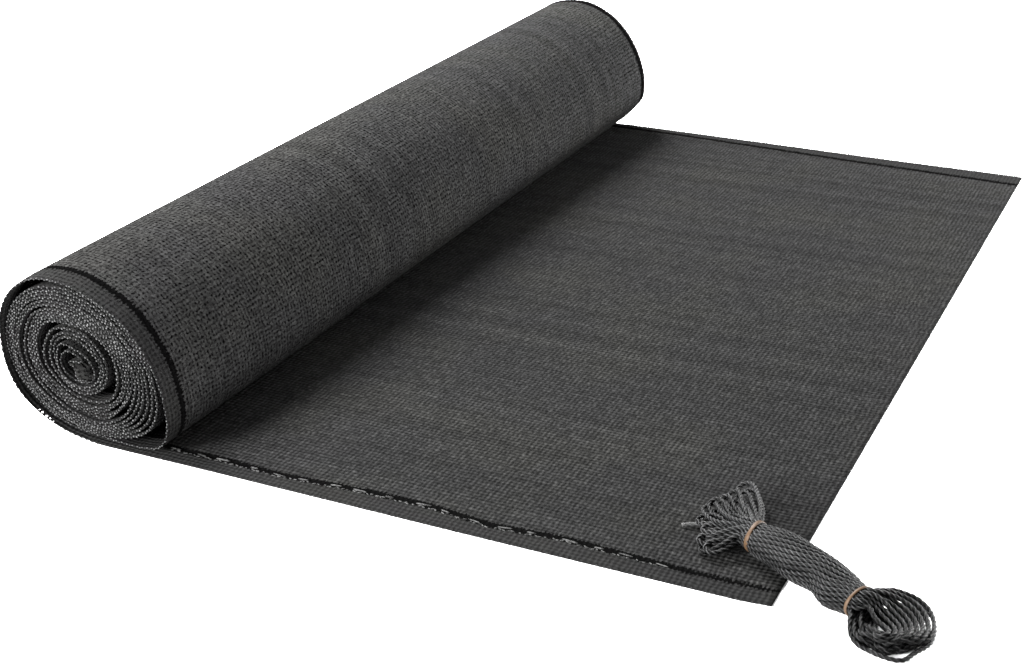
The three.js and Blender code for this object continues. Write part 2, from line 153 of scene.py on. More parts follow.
STEPS_PER_CORE_TURN = 46
CORE_TURN = 12.0

# The wound edges wander to and fro: how far, in waves of which lengths, and in how many rows that
# and the wound hem's own thickness set in. The thickness follows the space between turns, which is
# stated for the last one and for the folded end.
WANDER = 0.9
WANDER_LENGTHS = (83.0, 31.0, 210.0)
WANDER_PHASE = 1.3
WOUND_ROWS = 20
LAST_TURN_SPACING = 2.0
TAIL_SPACING = 1.4

# Kinks in the inner turns: turn number, how far the cloth stands out there and half the kink's
# width in turns.
KINKS = np.array([
    (3.37, 0.5, 0.04), (4.38, 0.6, 0.04), (7.37, 1.2, 0.035), (8.375, 1.5, 0.035),
    (9.38, 1.3, 0.035), (10.385, 1.4, 0.035), (11.39, 1.2, 0.035), (12.4, 1, 0.04),
    (5.84, 0.7, 0.04), (6.85, 1, 0.035), (7.855, -0.9, 0.03), (8.86, 1.2, 0.035),
    (9.87, -0.8, 0.03), (11.86, 1.2, 0.04),
])

# Inner end of the cloth: its last turns at the near end as x and z, with a flattened top, a sharp
# fold back under it and the end turned down.
CORE_TAIL = np.array([
    (-27.2, 60.5), (-26.4, 65), (-24.6, 69.6), (-21.5, 71.4), (-17, 71.2), (-13, 70),
    (-9.5, 68.6), (-5.6, 67), (-1.5, 64.6), (2.6, 60.9), (5.4, 56.3), (5.8, 51.6), (3.2, 47.6),
    (-1, 45.4), (-6, 44.8), (-11, 45.8), (-15.5, 47.8), (-19, 50.6), (-21.8, 54.2),
    (-23, 58.4), (-21.8, 62.8), (-19, 66), (-15.4, 67.3), (-11.4, 66.7), (-7.6, 65.4),
    (-4.6, 63.9), (-3.4, 62.3), (-4.6, 60.9), (-8, 60.6), (-12, 60.2), (-14.6, 59.5),
    (-15.2, 58.6), (-13, 57.6), (-10.2, 56.2), (-9.1, 53), (-8.6, 50.2), (-6.8, 48.3),
    (-3.2, 47.6), (0.4, 48.6),
])
TAIL_STEPS_PER_POINT = 4
TAIL_TURNS = 2.0
TAIL_SET_BACK = 2.0

# The end leans aside within the roll: how far, how deep it does so most, and between which rows,
# counted from its last one, the lean sets in.
TAIL_LEAN = 7.0
TAIL_LEAN_DEPTH = 14.0
TAIL_LEAN_ROWS = (-24, -18)

# How far the outer wrap's near edge is drawn in on top, how deep that reaches, and how far upward
# the cloth has to face for it to begin and to be full.
RIM_PULL = 1.7
RIM_PULL_DEPTH = 10.0
RIM_PULL_FACING = (0.5, 0.95)

# How much painted shade darkens the outer wrap where it turns in under the roll, and between
# which rows, counted from its last one, that sets in.
UNDER_SHADE = 0.65
UNDER_ROWS = (-33, -21)

# Hank: distance along its line from the fan's band, how far its middle lies aside, half width, half
# height and underside.
HANK_START = np.array([473.0, 56.0])
HANK_BEARING_DEG = -30.0
HANK_BODY = np.array([
    (-13, 0, 7, 6, 4),
    (-3, 0.3, 9.8, 8.8, 3),
    (4, 0.5, 10.4, 9.4, 3.2),
    (11, 1.2, 13.2, 10.6, 1.6),
    (20, 2.6, 15.2, 11.2, 1.4),
    (32, 3, 15.8, 11.3, 1.4),
    (44, 2.2, 16.6, 11.3, 1.2),
    (53, 3.2, 16, 11.2, 0.8),
    (61, 4.2, 14.6, 11, 0.8),
    (69, 2.4, 15.6, 11, 0.3),
    (77, 0.2, 16.6, 10.8, 0.2),
    (85, 0.2, 13.6, 10.2, 1),
    (94, 0.6, 11, 9.6, 2),
    (100, 0.6, 10.8, 9, 1.6),
    (108, 0, 7, 6, 2.4),
])
HANK_TWIST_DEG_PER_MM = -1.5
FAN_ROOT = -3.0
LOOP_ROOT = 96.5
BODY_STATIONS = 22
BODY_MARGIN = 2.0

# Bands: place along the hank, lean, half width, and how uneven their width and place are round the
# hank. Their section stands proud of the hank by the stated middle and thickness, whose share at
# each place round the section has a steady part and two waves.
BAND_ALONG = {"hank_band_fan": 4.0, "hank_band_loops": 94.0}
BAND_LEAN = {"hank_band_fan": -0.22, "hank_band_loops": 0.1}
BAND_HALF_WIDTH = {"hank_band_fan": 1.65, "hank_band_loops": 1.15}
BAND_WIDTH_UNEVEN = (0.12, 0.07)
BAND_PLACE_UNEVEN = 0.25
BAND_PROUD = 0.3
BAND_THICKNESS = 1.1
BAND_RIDGES = (0.5, 0.1, 0.06)
BAND_STEPS = 96
BAND_SIDES = 12

# Wide loops: the way round the widest and the narrowest one, along and across the hank and up, then
# where the loops lie between those two, in three groups of six. They lie in pairs, one low and one
# high. The widest low loop also sags out of its group at three points.
WIDEST_LOOP = np.array([
    (101, 16.8, 15.6), (105, 24.9, 13.4), (111, 31, 10.8), (119.5, 31.8, 8.2),
    (128, 27, 6.4), (136, 13.5, 5), (134.5, 3, 4.5), (129, -5, 4.5),
    (123, -12.5, 4.5), (117, -17, 4.5), (111, -15, 4.7),
])
NARROWEST_LOOP = np.array([
    (101, -1.5, 14.6), (105.5, -4, 13.8), (111, -7, 12), (118, -7.5, 10),
    (123.5, -7.5, 8.5), (127.5, -9, 7), (128.5, -12, 6), (126, -15, 5.5),
    (121, -15.5, 5), (115.5, -14, 5), (110.5, -11.5, 5),
])
LOOP_SHARES = np.array([
    (1, 0.63, 0.29), (0.98, 0.62, 0.28), (0.87, 0.51, 0.18), (0.86, 0.5, 0.17),
    (0.75, 0.4, 0.06), (0.74, 0.39, 0.03),
])
LOOP_LAYER_RISE = np.tile([-1.4, 1.2], 3)
LONE_LOOP_SAG = 12.0
LONE_LOOP_POINTS = slice(6, 9)
LONE_LOOP_WAY = np.array([(0.4, -0.4, 0.0), (1.0, -0.8, 0.0), (0.6, -0.6, 0.0)])

# Fan: where the tip of each narrow loop lies along, across and up, how far the loop bulges to the
# far side on its way, its half span and how upright it stands.
FAN_LOOPS = np.array([
    (-53, 43.5, 6, 3, 5, 0.3),
    (-53, 41, 11.5, 2.5, 5, 0.5),
    (-50, 35, 8.5, 1, 5, 0.6),
    (-49, 28, 12, -3, 4.8, 0.55),
    (-46, 26, 6, -2, 4.8, 0.4),
    (-48, 19.5, 11.5, -3, 4.8, 0.55),
    (-45, 18.5, 5.5, -2, 4.8, 0.4),
    (-48.5, 12.5, 10.5, -4, 4.8, 0.5),
    (-45, 11.5, 5.2, -3, 4.8, 0.4),
    (-50, 11, 8, -8, 4.8, 0.4),
    (-47, 5.5, 4.6, -6.5, 4.8, 0.3),
    (-44, -4, 6.5, -1.5, 4.8, 0.4),
    (-30, -14, 7, 1, 4.8, 0.3),
    (-26, -21, 4.6, 2, 4.8, 0.1),
    (-20, -26.5, 7.2, 2, 4.8, 0.25),
    (-15, -29.5, 4.2, 1, 4.8, 0.1),
    (-9.5, -29.5, 6.4, 0.5, 4.8, 0.25),
])

# Stations of a narrow loop on its way out: share of its reach, half spans short of that, and share
# of the half span to its side.
FAN_STATIONS = np.array([
    (0.2, 0, 0.5), (0.4, 0, 0.85), (0.65, 0, 1), (1, 1, 1), (1, 0.3, 0.72),
])

# The cord's loose end in the layout, and where it goes into the body, across and up.
CORD_END = np.array([
    (423.4, 64, 2.85), (429, 67.8, 2.9), (435, 70, 3.2), (441.5, 70.2, 4.6),
    (449, 68.5, 7), (458, 66.2, 10.5),
])
CORD_END_ROOT = np.array([3.0, 12.0])

# Cord: its plies, the rings of strands in the body with their share of its half width, how it
# settles, and how far past their root the wide loops reach their full painted shade.
CORD_DIAMETER = 3.0
CORD_LAY_LENGTH = 12.0
CORD_PLIES = 3
PLY_SHARES = np.array([0.58, 0.9, 1.0, 0.9])
STRAND_RINGS = ((22, 1.0), (10, 0.62), (4, 0.25))
RING_STAGGER = 0.37
SETTLE_ROUNDS = 45
SETTLE_STEP = 1.7
SETTLE_SKIP = 5
SETTLE_SHARE = 0.45
LEAST_GAP = 0.05
GROUND_MARGIN = 1.0
SMOOTH_ROUNDS = 3
CORD_STEP = 1.4
FINER_READING = 4
LOOP_SHADE_REACH = 12.0


def new_object(name, data):
    """An object in the scene's collection."""
    made = bpy.data.objects.new(name, data)
    bpy.context.collection.objects.link(made)
    return made


def camera():
    """A camera at the photograph's place, angle and lens."""
    data = bpy.data.cameras.new("photo_camera")
    data.sensor_width = CAMERA_SENSOR_MM
    data.lens = CAMERA_LENS_MM
    placed = new_object("photo_camera", data)
    placed.location = ORIGIN + np.array(CAMERA_PLACE) * MM
    placed.rotation_euler = (math.radians(CAMERA_TILT_DEG), 0, math.radians(CAMERA_TURN_DEG))
    bpy.context.scene.camera = placed


def quads(rows, columns, wrap_rows=False, wrap_columns=False):
    """Quads between the rows and columns of a grid, whose last row or column may join its first."""
    row = np.arange(rows if wrap_rows else rows - 1)[:, None]
    column = np.arange(columns if wrap_columns else columns - 1)[None, :]
    next_row, next_column = (row + 1) % rows, (column + 1) % columns
    corners = (
        row * columns + column,
        next_row * columns + column,
        next_row * columns + next_column,
        row * columns + next_column,
    )
    return np.stack(np.broadcast_arrays(*corners), -1).reshape(-1, 4)


def mesh_piece(name, points, faces, uv, ends=(), values=None):
    """A smooth mesh object on the root, from layout points, quads, flat end faces, and a uv pair
    and named values for each point."""
    points = points.reshape(-1, 3) * MM + ORIGIN
    corners = np.concatenate([np.ravel(faces), *[np.ravel(end) for end in ends]]).astype(np.int32)
    sizes = np.concatenate([np.full(len(faces), 4), [len(end) for end in ends]]).astype(np.int32)
    starts = np.concatenate([[0], np.cumsum(sizes)[:-1]]).astype(np.int32)
    mesh = bpy.data.meshes.new(name)
    mesh.vertices.add(len(points))
    mesh.vertices.foreach_set("co", points.ravel())
    mesh.loops.add(len(corners))
    mesh.loops.foreach_set("vertex_index", corners)
    mesh.polygons.add(len(sizes))
    mesh.polygons.foreach_set("loop_start", starts)
    mesh.polygons.foreach_set("use_smooth", np.ones(len(sizes), bool))
    layer = mesh.uv_layers.new(name="lay")
    layer.data.foreach_set("uv", uv.reshape(-1, 2)[corners].ravel())
    for title, numbers in (values or {}).items():
        mesh.attributes.new(title, "FLOAT", "POINT").data.foreach_set("value", np.ravel(numbers))
    mesh.update(calc_edges=True)
    mesh.validate()
    piece = new_object(name, mesh)
    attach(piece, "root")
    return piece


def table_at(table, column, places):
    """Straight line between the rows of a table, whose first column is the place."""
    return np.interp(places, table[:, 0], table[:, column])


def smooth_line(points, per_segment):
    """Uniform Catmull-Rom spline through the rows, with the end points repeated."""
    padded = np.vstack([points[:1], points, points[-1:]])
    a, b, c, d = (padded[i:len(padded) - 3 + i, None] for i in range(4))
    t = (np.arange(per_segment) / per_segment)[None, :, None]
    cubic = b + 0.5 * t * (c - a + t * (2 * a - 5 * b + 4 * c - d + t * (3 * (b - c) + d - a)))
    return np.vstack([cubic.reshape(-1, points.shape[1]), points[-1:]])


def cubic_between(left, right, left_slope, right_slope, span, t):
    """Cubic between two values with a given slope at each, at a share of the span."""
    blend = t * t * (3 - 2 * t)
    bend = t * (1 - t) * span * ((1 - t) * left_slope - t * right_slope)
    return left * (1 - blend) + right * blend + bend


def smooth_path(points, step):
    """Cubic curve through unevenly spaced points, read at even steps. Each slope is the mean of
    those on either side, weighted by the other side's span."""
    span = np.linalg.norm(np.diff(points, axis=0), axis=1)
    place = np.concatenate([[0], np.cumsum(span)])
    rise = np.diff(points, axis=0) / span[:, None]
    middle = rise[:-1] * span[1:, None] + rise[1:] * span[:-1, None]
    slope = np.vstack([rise[:1], middle / (span[1:] + span[:-1])[:, None], rise[-1:]])

    def read(at):
        i = np.clip(np.searchsorted(place, at, side="right") - 1, 0, len(span) - 1)
        h = span[i][:, None]
        t = (at - place[i])[:, None] / h
        return cubic_between(points[i], points[i + 1], slope[i], slope[i + 1], h, t)

    fine = np.linspace(0, place[-1], FINER_READING * int(place[-1] / step))
    run = read(fine)
    length = run_length(run)
    even = np.linspace(0, length[-1], int(round(length[-1] / step)) + 1)
    return read(np.interp(even, length, fine))


def along_across(points):
    """Hank coordinates, along its line and across it, from layout x and y."""
    turn = math.radians(HANK_BEARING_DEG)
    offset = np.asarray(points, float) - HANK_START
    along = offset @ np.array([math.cos(turn), math.sin(turn)])
    across = offset @ np.array([-math.sin(turn), math.cos(turn)])
    return np.stack([along, across], -1)


def hank_to_layout(points):
    """Layout points from hank coordinates along, across and up."""
    turn = math.radians(HANK_BEARING_DEG)
    along, across, up = np.moveaxis(np.asarray(points, float), -1, 0)
    x = HANK_START[0] + along * math.cos(turn) - across * math.sin(turn)
    y = HANK_START[1] + along * math.sin(turn) + across * math.cos(turn)
    return np.stack([x, y, up], -1)


def hank_section(along):
    """Middle aside, middle height, half width and half height of the hank's body at some
    distances."""
    aside, half_width, half_height, under = (table_at(HANK_BODY, k, along) for k in (1, 2, 3, 4))
    return aside, under + half_height, half_width, half_height


def strand_places(along):
    """Places of the strands in the hank's body, a row for each, at some distances along it: rings
    of slots in an oval, turned steadily with the distance."""
    share = np.concatenate([np.full(count, share) for count, share in STRAND_RINGS])
    angle = np.concatenate([
        2 * np.pi * (np.arange(count) / count + RING_STAGGER * ring)
        for ring, (count, _) in enumerate(STRAND_RINGS)
    ])
    turned = angle[:, None] + np.radians(HANK_TWIST_DEG_PER_MM) * along
    aside, middle, half_width, half_height = hank_section(along)
    across = aside + (half_width - CORD_DIAMETER / 2) * share[:, None] * np.cos(turned)
    up = middle + (half_height - CORD_DIAMETER / 2) * share[:, None] * np.sin(turned)
    return np.stack([np.broadcast_to(along, across.shape), across, up], -1)


def loop_pairs(ends):
    """Which strands each wide loop joins: upper ones go out and lower ones come back, the widest
    loops joining those furthest across to those furthest back."""
    layers, columns = LOOP_SHARES.shape
    order = np.argsort(-ends[:, 2])
    half = len(order) // 2
    out = order[:half][np.argsort(-ends[order[:half], 1])].reshape(columns, layers)
    back = order[half:][np.argsort(ends[order[half:], 1])].reshape(columns, layers)
    return out.T, back.T


def wide_loop(layer, column):
    """A loop at the hank's wide end, between the narrowest and the widest way round, raised or
    lowered most where it is furthest from the band."""
    share = LOOP_SHARES[layer, column]
    path = NARROWEST_LOOP + share * (WIDEST_LOOP - NARROWEST_LOOP)
    spread = np.sin(np.pi * (np.arange(len(path)) + 1) / (len(path) + 1)) ** 0.5
    path[:, 2] += LOOP_LAYER_RISE[layer] * spread
    if layer == 0 and column == 0:
        path[LONE_LOOP_POINTS] += LONE_LOOP_SAG * LONE_LOOP_WAY
    return path


def fan_loop(row, start, end):
    """A narrow loop at the fan end: out on one side of an axis, round the tip and back on the
    other, in a plane between flat and upright. The axis is the parabola from between its two
    strands to the tip that bulges as stated half way."""
    tip, (bulge, half_span, upright) = row[:3], row[3:]
    root = (start + end) / 2
    reach = np.linalg.norm(tip - root)
    bent = (root + tip) / 2 + 2 * bulge * level_side(tip - root)
    share, short, aside = FAN_STATIONS.T
    out = share - short * half_span / reach
    out = np.concatenate([out, [1], out[::-1]])[:, None]
    span = np.concatenate([aside, [0], -aside[::-1]]) * half_span
    axis = (1 - out) ** 2 * root + 2 * out * (1 - out) * bent + out ** 2 * tip
    slope = (1 - out) * (bent - root) + out * (tip - bent)
    side = math.sqrt(1 - upright ** 2) * level_side(slope) + upright * np.array([0.0, 0.0, 1.0])
    if (start - end) @ side[0] < 0:
        span = -span
    return axis + span[:, None] * side


def level_side(way):
    """Level unit vectors square to some directions, to the far side of the fan."""
    side = np.stack([way[..., 1], -way[..., 0], np.zeros(way.shape[:-1])], -1)
    return side / np.linalg.norm(side, axis=-1, keepdims=True)


def hank_line():
    """Points on the whole cord in hank coordinates: from its loose end into the fan, to and fro
    along the body, over the wide loops at one end and the fan's narrow loops at the other."""
    along = np.linspace(FAN_ROOT, LOOP_ROOT, BODY_STATIONS)
    strands = strand_places(along)
    fan_ends, loop_ends = strands[:, 0], strands[:, -1]
    out, back = loop_pairs(loop_ends)
    loops = {}
    for layer, column in np.ndindex(*LOOP_SHARES.shape):
        a, b = int(out[layer, column]), int(back[layer, column])
        path = wide_loop(layer, column)
        loops[a], loops[b] = (b, path), (a, path[::-1])

    loose = np.column_stack([along_across(CORD_END[:, :2]), CORD_END[:, 2]])
    here = int(np.argmin(np.linalg.norm(fan_ends[:, 1:] - CORD_END_ROOT, axis=1)))
    order, left = [], set(loops)
    while left:
        there, path = loops[here]
        order.append((here, there, path))
        left -= {here, there}
        if left:
            rest = np.array(sorted(left))
            gap = np.linalg.norm(fan_ends[rest] - fan_ends[there], axis=1)
            here = int(rest[np.argmin(gap)])

    roots = [(fan_ends[a[1]], fan_ends[b[0]]) for a, b in zip(order[:-1], order[1:])]
    rank = np.argsort(np.argsort([-(start[1] + end[1]) for start, end in roots]))
    line = [loose]
    for i, (here, there, path) in enumerate(order):
        line += [strands[here], path, strands[there][::-1]]
        if i < len(roots):
            line.append(fan_loop(FAN_LOOPS[rank[i]], *roots[i]))
    return np.vstack(line)


def ground_under(path):
    """Height of what lies under points in hank coordinates: the cloth and its hem, or the floor."""
    x, y, _ = np.moveaxis(hank_to_layout(path), -1, 0)
    on_hem = y < table_at(LOOSE_END, NEAR_HEM, x)
    cloth = np.where(on_hem, 2 * HEM_HALF_THICKNESS, 2 * CLOTH_HALF_THICKNESS)
    edge = table_at(LOOSE_END, NEAR_EDGE, x)
    on_cloth = (x < CUT_END_X + GROUND_MARGIN) & (y > edge - GROUND_MARGIN)
    return np.where(on_cloth, cloth + FLOOR_GAP, 0.0)


def smoothed(values):
    """Each row as a mean of itself, taken twice, and its two neighbours."""
    padded = np.vstack([values[:1], values, values[-1:]])
    return 0.25 * padded[:-2] + 0.5 * values + 0.25 * padded[2:]


def settle(path):
    """Lets the cord lie on itself: each round moves every two points that are less than a diameter
    apart away from each other, smooths the moves along the cord, keeps the strands inside the
    body's oval and lifts the cord onto what is under it."""
    start, moved = path, np.zeros_like(path)
    number = np.arange(len(path))
    for _ in range(SETTLE_ROUNDS):
        now = start + moved
        near = (now - now.mean(0)).astype(np.float32)
        square = (near * near).sum(1)
        gap = square[:, None] + square[None, :] - 2 * near @ near.T
        a, b = np.nonzero(gap < CORD_DIAMETER ** 2)
        keep = number[b] - number[a] > SETTLE_SKIP
        a, b = a[keep], b[keep]
        way = now[a] - now[b]
        apart = np.maximum(np.linalg.norm(way, axis=1), LEAST_GAP)
        push = way * (SETTLE_SHARE * (CORD_DIAMETER - apart) / apart)[:, None]
        count = np.bincount(a, minlength=len(path)) + np.bincount(b, minlength=len(path))
        total = np.stack([
            np.bincount(a, push[:, k], len(path)) - np.bincount(b, push[:, k], len(path))
            for k in range(3)
        ], -1)
        moved = smoothed(moved + total / np.sqrt(np.maximum(count, 1))[:, None])
        now = start + moved
        aside, middle, half_width, half_height = hank_section(now[:, 0])
        centre = np.stack([aside, middle], -1)
        room = np.stack([half_width, half_height], -1) - CORD_DIAMETER / 2
        flat = (now[:, 1:] - centre) / room
        over = np.maximum(np.linalg.norm(flat, axis=1), 1)[:, None]
        in_body = (now[:, 0] > FAN_ROOT + BODY_MARGIN) & (now[:, 0] < LOOP_ROOT - BODY_MARGIN)
        kept = flat / over * room + centre - start[:, 1:]
        moved[:, 1:] = np.where(in_body[:, None], kept, moved[:, 1:])
        lowest = ground_under(start + moved) + CORD_DIAMETER / 2
        moved[:, 2] = np.maximum(moved[:, 2], lowest - start[:, 2])
    settled = start + moved
    for _ in range(SMOOTH_ROUNDS):
        settled = smoothed(settled)
    return settled


def run_length(path):
    """Distance along a row of points from its first one."""
    return np.concatenate([[0], np.cumsum(np.linalg.norm(np.diff(path, axis=0), axis=1))])


def carried_rings(path, radius, spin):
    """A ring of points about each point of a path, carried along it without twist and then turned
    by the spin. Radius has one row for each point."""
    ahead = np.gradient(path, axis=0)
    ahead /= np.linalg.norm(ahead, axis=1)[:, None]
    side = np.cross(ahead, [0.0, 0.0, 1.0])
    side /= np.maximum(np.linalg.norm(side, axis=1), 1e-6)[:, None]
    up = np.cross(side, ahead)
    turn = np.arctan2((side[:-1] * up[1:]).sum(1), (side[:-1] * side[1:]).sum(1))
    start = np.concatenate([[0], np.cumsum(turn)])
    sides = radius.shape[1]
    angle = 2 * np.pi * np.arange(sides) / sides + (start + spin)[:, None]
    ring = np.cos(angle)[..., None] * side[:, None] + np.sin(angle)[..., None] * up[:, None]
    return path[:, None] + radius[..., None] * ring


def tube_ends(rows, sides):
    """Corners of the two flat faces that close a tube of rings."""
    return [np.arange(sides), (rows - 1) * sides + np.arange(sides)[::-1]]


def tube(name, path, radius, place, values, spin=0.0):
    """A closed tube of rings about a path. Radius has a row for each point and a column for each
    side, and place goes to the uv."""
    rows, sides = radius.shape
    uv = np.stack(np.broadcast_arrays(place[:, None] * MM, np.arange(sides) / sides), -1)
    faces = quads(rows, sides, wrap_columns=True)
    rings = carried_rings(path, radius, spin)
    return mesh_piece(name, rings, faces, uv, tube_ends(rows, sides), values)


def laid_cord(path):
    """A cord of three plies, and its length: rings that swell over each ply and dip between plies,
    turning once in each lay length, and marked for painted shade in the wide loops."""
    run = run_length(path)
    shares = np.tile(PLY_SHARES, CORD_PLIES)
    radius = np.tile(CORD_DIAMETER / 2 * shares, (len(path), 1))
    crest = np.tile((shares - shares.min()) / np.ptp(shares), (len(path), 1))
    along = along_across(path[:, :2])[:, :1]
    # Painted shade on the cord in the wide loops.
    shaded = smoothstep(along, LOOP_ROOT, LOOP_ROOT + LOOP_SHADE_REACH)
    values = {"crest": crest, "shaded": np.broadcast_to(shaded, crest.shape)}
    spin = -2 * np.pi * run / CORD_LAY_LENGTH
    return tube("fixing_cord", path, radius, run, values, spin), run[-1]


def elastic_band(name):
    """A stretched band round the hank's waist: an oval ring carrying a flat section with two
    rounded ridges, leaning a little and uneven in width and place."""
    along = BAND_ALONG[name]
    aside, middle, half_width, half_height = (float(value) for value in hank_section(along))
    angle = 2 * np.pi * np.arange(BAND_STEPS) / BAND_STEPS
    turn = 2 * np.pi * np.arange(BAND_SIDES) / BAND_SIDES
    steady, second, fourth = BAND_RIDGES
    ridge = steady + second * np.cos(2 * turn - np.pi) + fourth * np.cos(4 * turn)
    slow, quick = BAND_WIDTH_UNEVEN
    uneven = 1 + slow * np.sin(2 * angle + 0.6) + quick * np.sin(5 * angle)
    width = BAND_HALF_WIDTH[name] * uneven
    lean = BAND_LEAN[name] * half_width * np.cos(angle)
    lean += BAND_PLACE_UNEVEN * np.sin(3 * angle + 1.0)
    out = BAND_PROUD + ridge[None, :] * BAND_THICKNESS * np.cos(turn)[None, :]
    place = along + lean[:, None] + width[:, None] * np.sin(turn)[None, :]
    across = aside + (half_width + out) * np.cos(angle)[:, None]
    up = middle + (half_height + out) * np.sin(angle)[:, None]
    points = hank_to_layout(np.stack([place, across, up], -1))
    uv = np.stack(np.broadcast_arrays(angle[:, None], turn[None, :]), -1) / (2 * np.pi)
    faces = quads(BAND_STEPS, BAND_SIDES, wrap_rows=True, wrap_columns=True)
    return mesh_piece(name.replace("hank_", "stretched_"), points, faces[:, ::-1], uv)


def round_directions(values, degrees):
    """Closed cubic curve through one value for each direction, for every row. Each slope is that
    between the two neighbours."""
    degrees = degrees % 360
    at = np.concatenate([DIRECTIONS_DEG[-2:] - 360, DIRECTIONS_DEG, DIRECTIONS_DEG[:2] + 360])
    rows = np.hstack([values[:, -2:], values, values[:, :2]])
    slope = np.zeros_like(rows)
    slope[:, 1:-1] = (rows[:, 2:] - rows[:, :-2]) / (at[2:] - at[:-2])
    i = np.clip(np.searchsorted(at, degrees, side="right") - 1, 1, len(at) - 3)
    span = at[i + 1] - at[i]
    t = (degrees - at[i]) / span
    return cubic_between(rows[:, i], rows[:, i + 1], slope[:, i], slope[:, i + 1], span, t)


def winding_line(turns, core):
    """Middle of the cloth in the inner turns at one end: a spiral about the core whose distance
    runs straight between the rows of the winding table, with a bell-shaped bump for each kink."""
    rows = round_directions(WINDING[:, 1:-1], 360 * turns)
    i = np.clip(np.searchsorted(WINDING[:, 0], turns) - 1, 0, len(WINDING) - 2)
    share = (turns - WINDING[i, 0]) / (WINDING[i + 1, 0] - WINDING[i, 0])
    column = np.arange(len(turns))
    radius = rows[i, column] * (1 - share) + rows[i + 1, column] * share
    radius += (KINKS[:, 1] * np.exp(-((turns[:, None] - KINKS[:, 0]) / KINKS[:, 2]) ** 2)).sum(1)
    angle = np.radians(-90 - 360 * turns)
    way = np.stack([np.cos(angle), np.sin(angle)], -1)
    return np.array(core[:2]) + core[2] * radius[:, None] * way


def smoothstep(value, low, high):
    """Cubic ramp from 0 at low to 1 at high."""
    t = np.clip((value - low) / (high - low), 0, 1)
    return t * t * (3 - 2 * t)


def ripple(place, lengths, phase):
    """Mean of some sine waves of the given lengths, each with a shifted phase."""
    waves = [np.sin(2 * np.pi * place / w + phase * (k + 1.7)) for k, w in enumerate(lengths)]
    return sum(waves) / len(waves)


# Stations across a hem: share of its width and millimetres past that, shares of the hem's and of
# the plain cloth's half thickness, and nearness to the stitched line.
HEM_STATIONS = np.array([
    (0, 0, 0, 0, 0),
    (0, 0.25, 0.62, 0, 0),
    (0, 0.7, 0.92, 0, 0),
    (0, 1.6, 1, 0, 0),
    (0.3, 0, 1, 0, 0),
    (1, -6, 1, 0, 0),
    (1, -3.4, 1, 0, 0.43),
    (1, -1.6, 0.95, 0, 0.73),
    (1, -0.6, 0.5, 0.1, 0.9),
    (1, 0, 0, 0.7, 1),
    (1, 0.9, 0, 0.9, 0.85),
    (1, 2.4, 0, 1, 0.6),
    (1, 6, 0, 1, 0),
    (1, 14, 0, 1, 0),
    (1, 40, 0, 1, 0),
])
FIELD_SHARES = np.array([0.2, 0.4, 0.6, 0.8])

# Strength of the dark lines at the near and the far hem, each partly stitching and partly painted
# shadow of the hem's inner edge. The near one weakens toward the cut end.
SEAM_ON_FLOOR = (1.3, 0.9)
SEAM_ON_ROLL = (1.1, 1.25)
SEAM_AT_CUT_END = 0.56
SEAM_FADE_X = 385.0


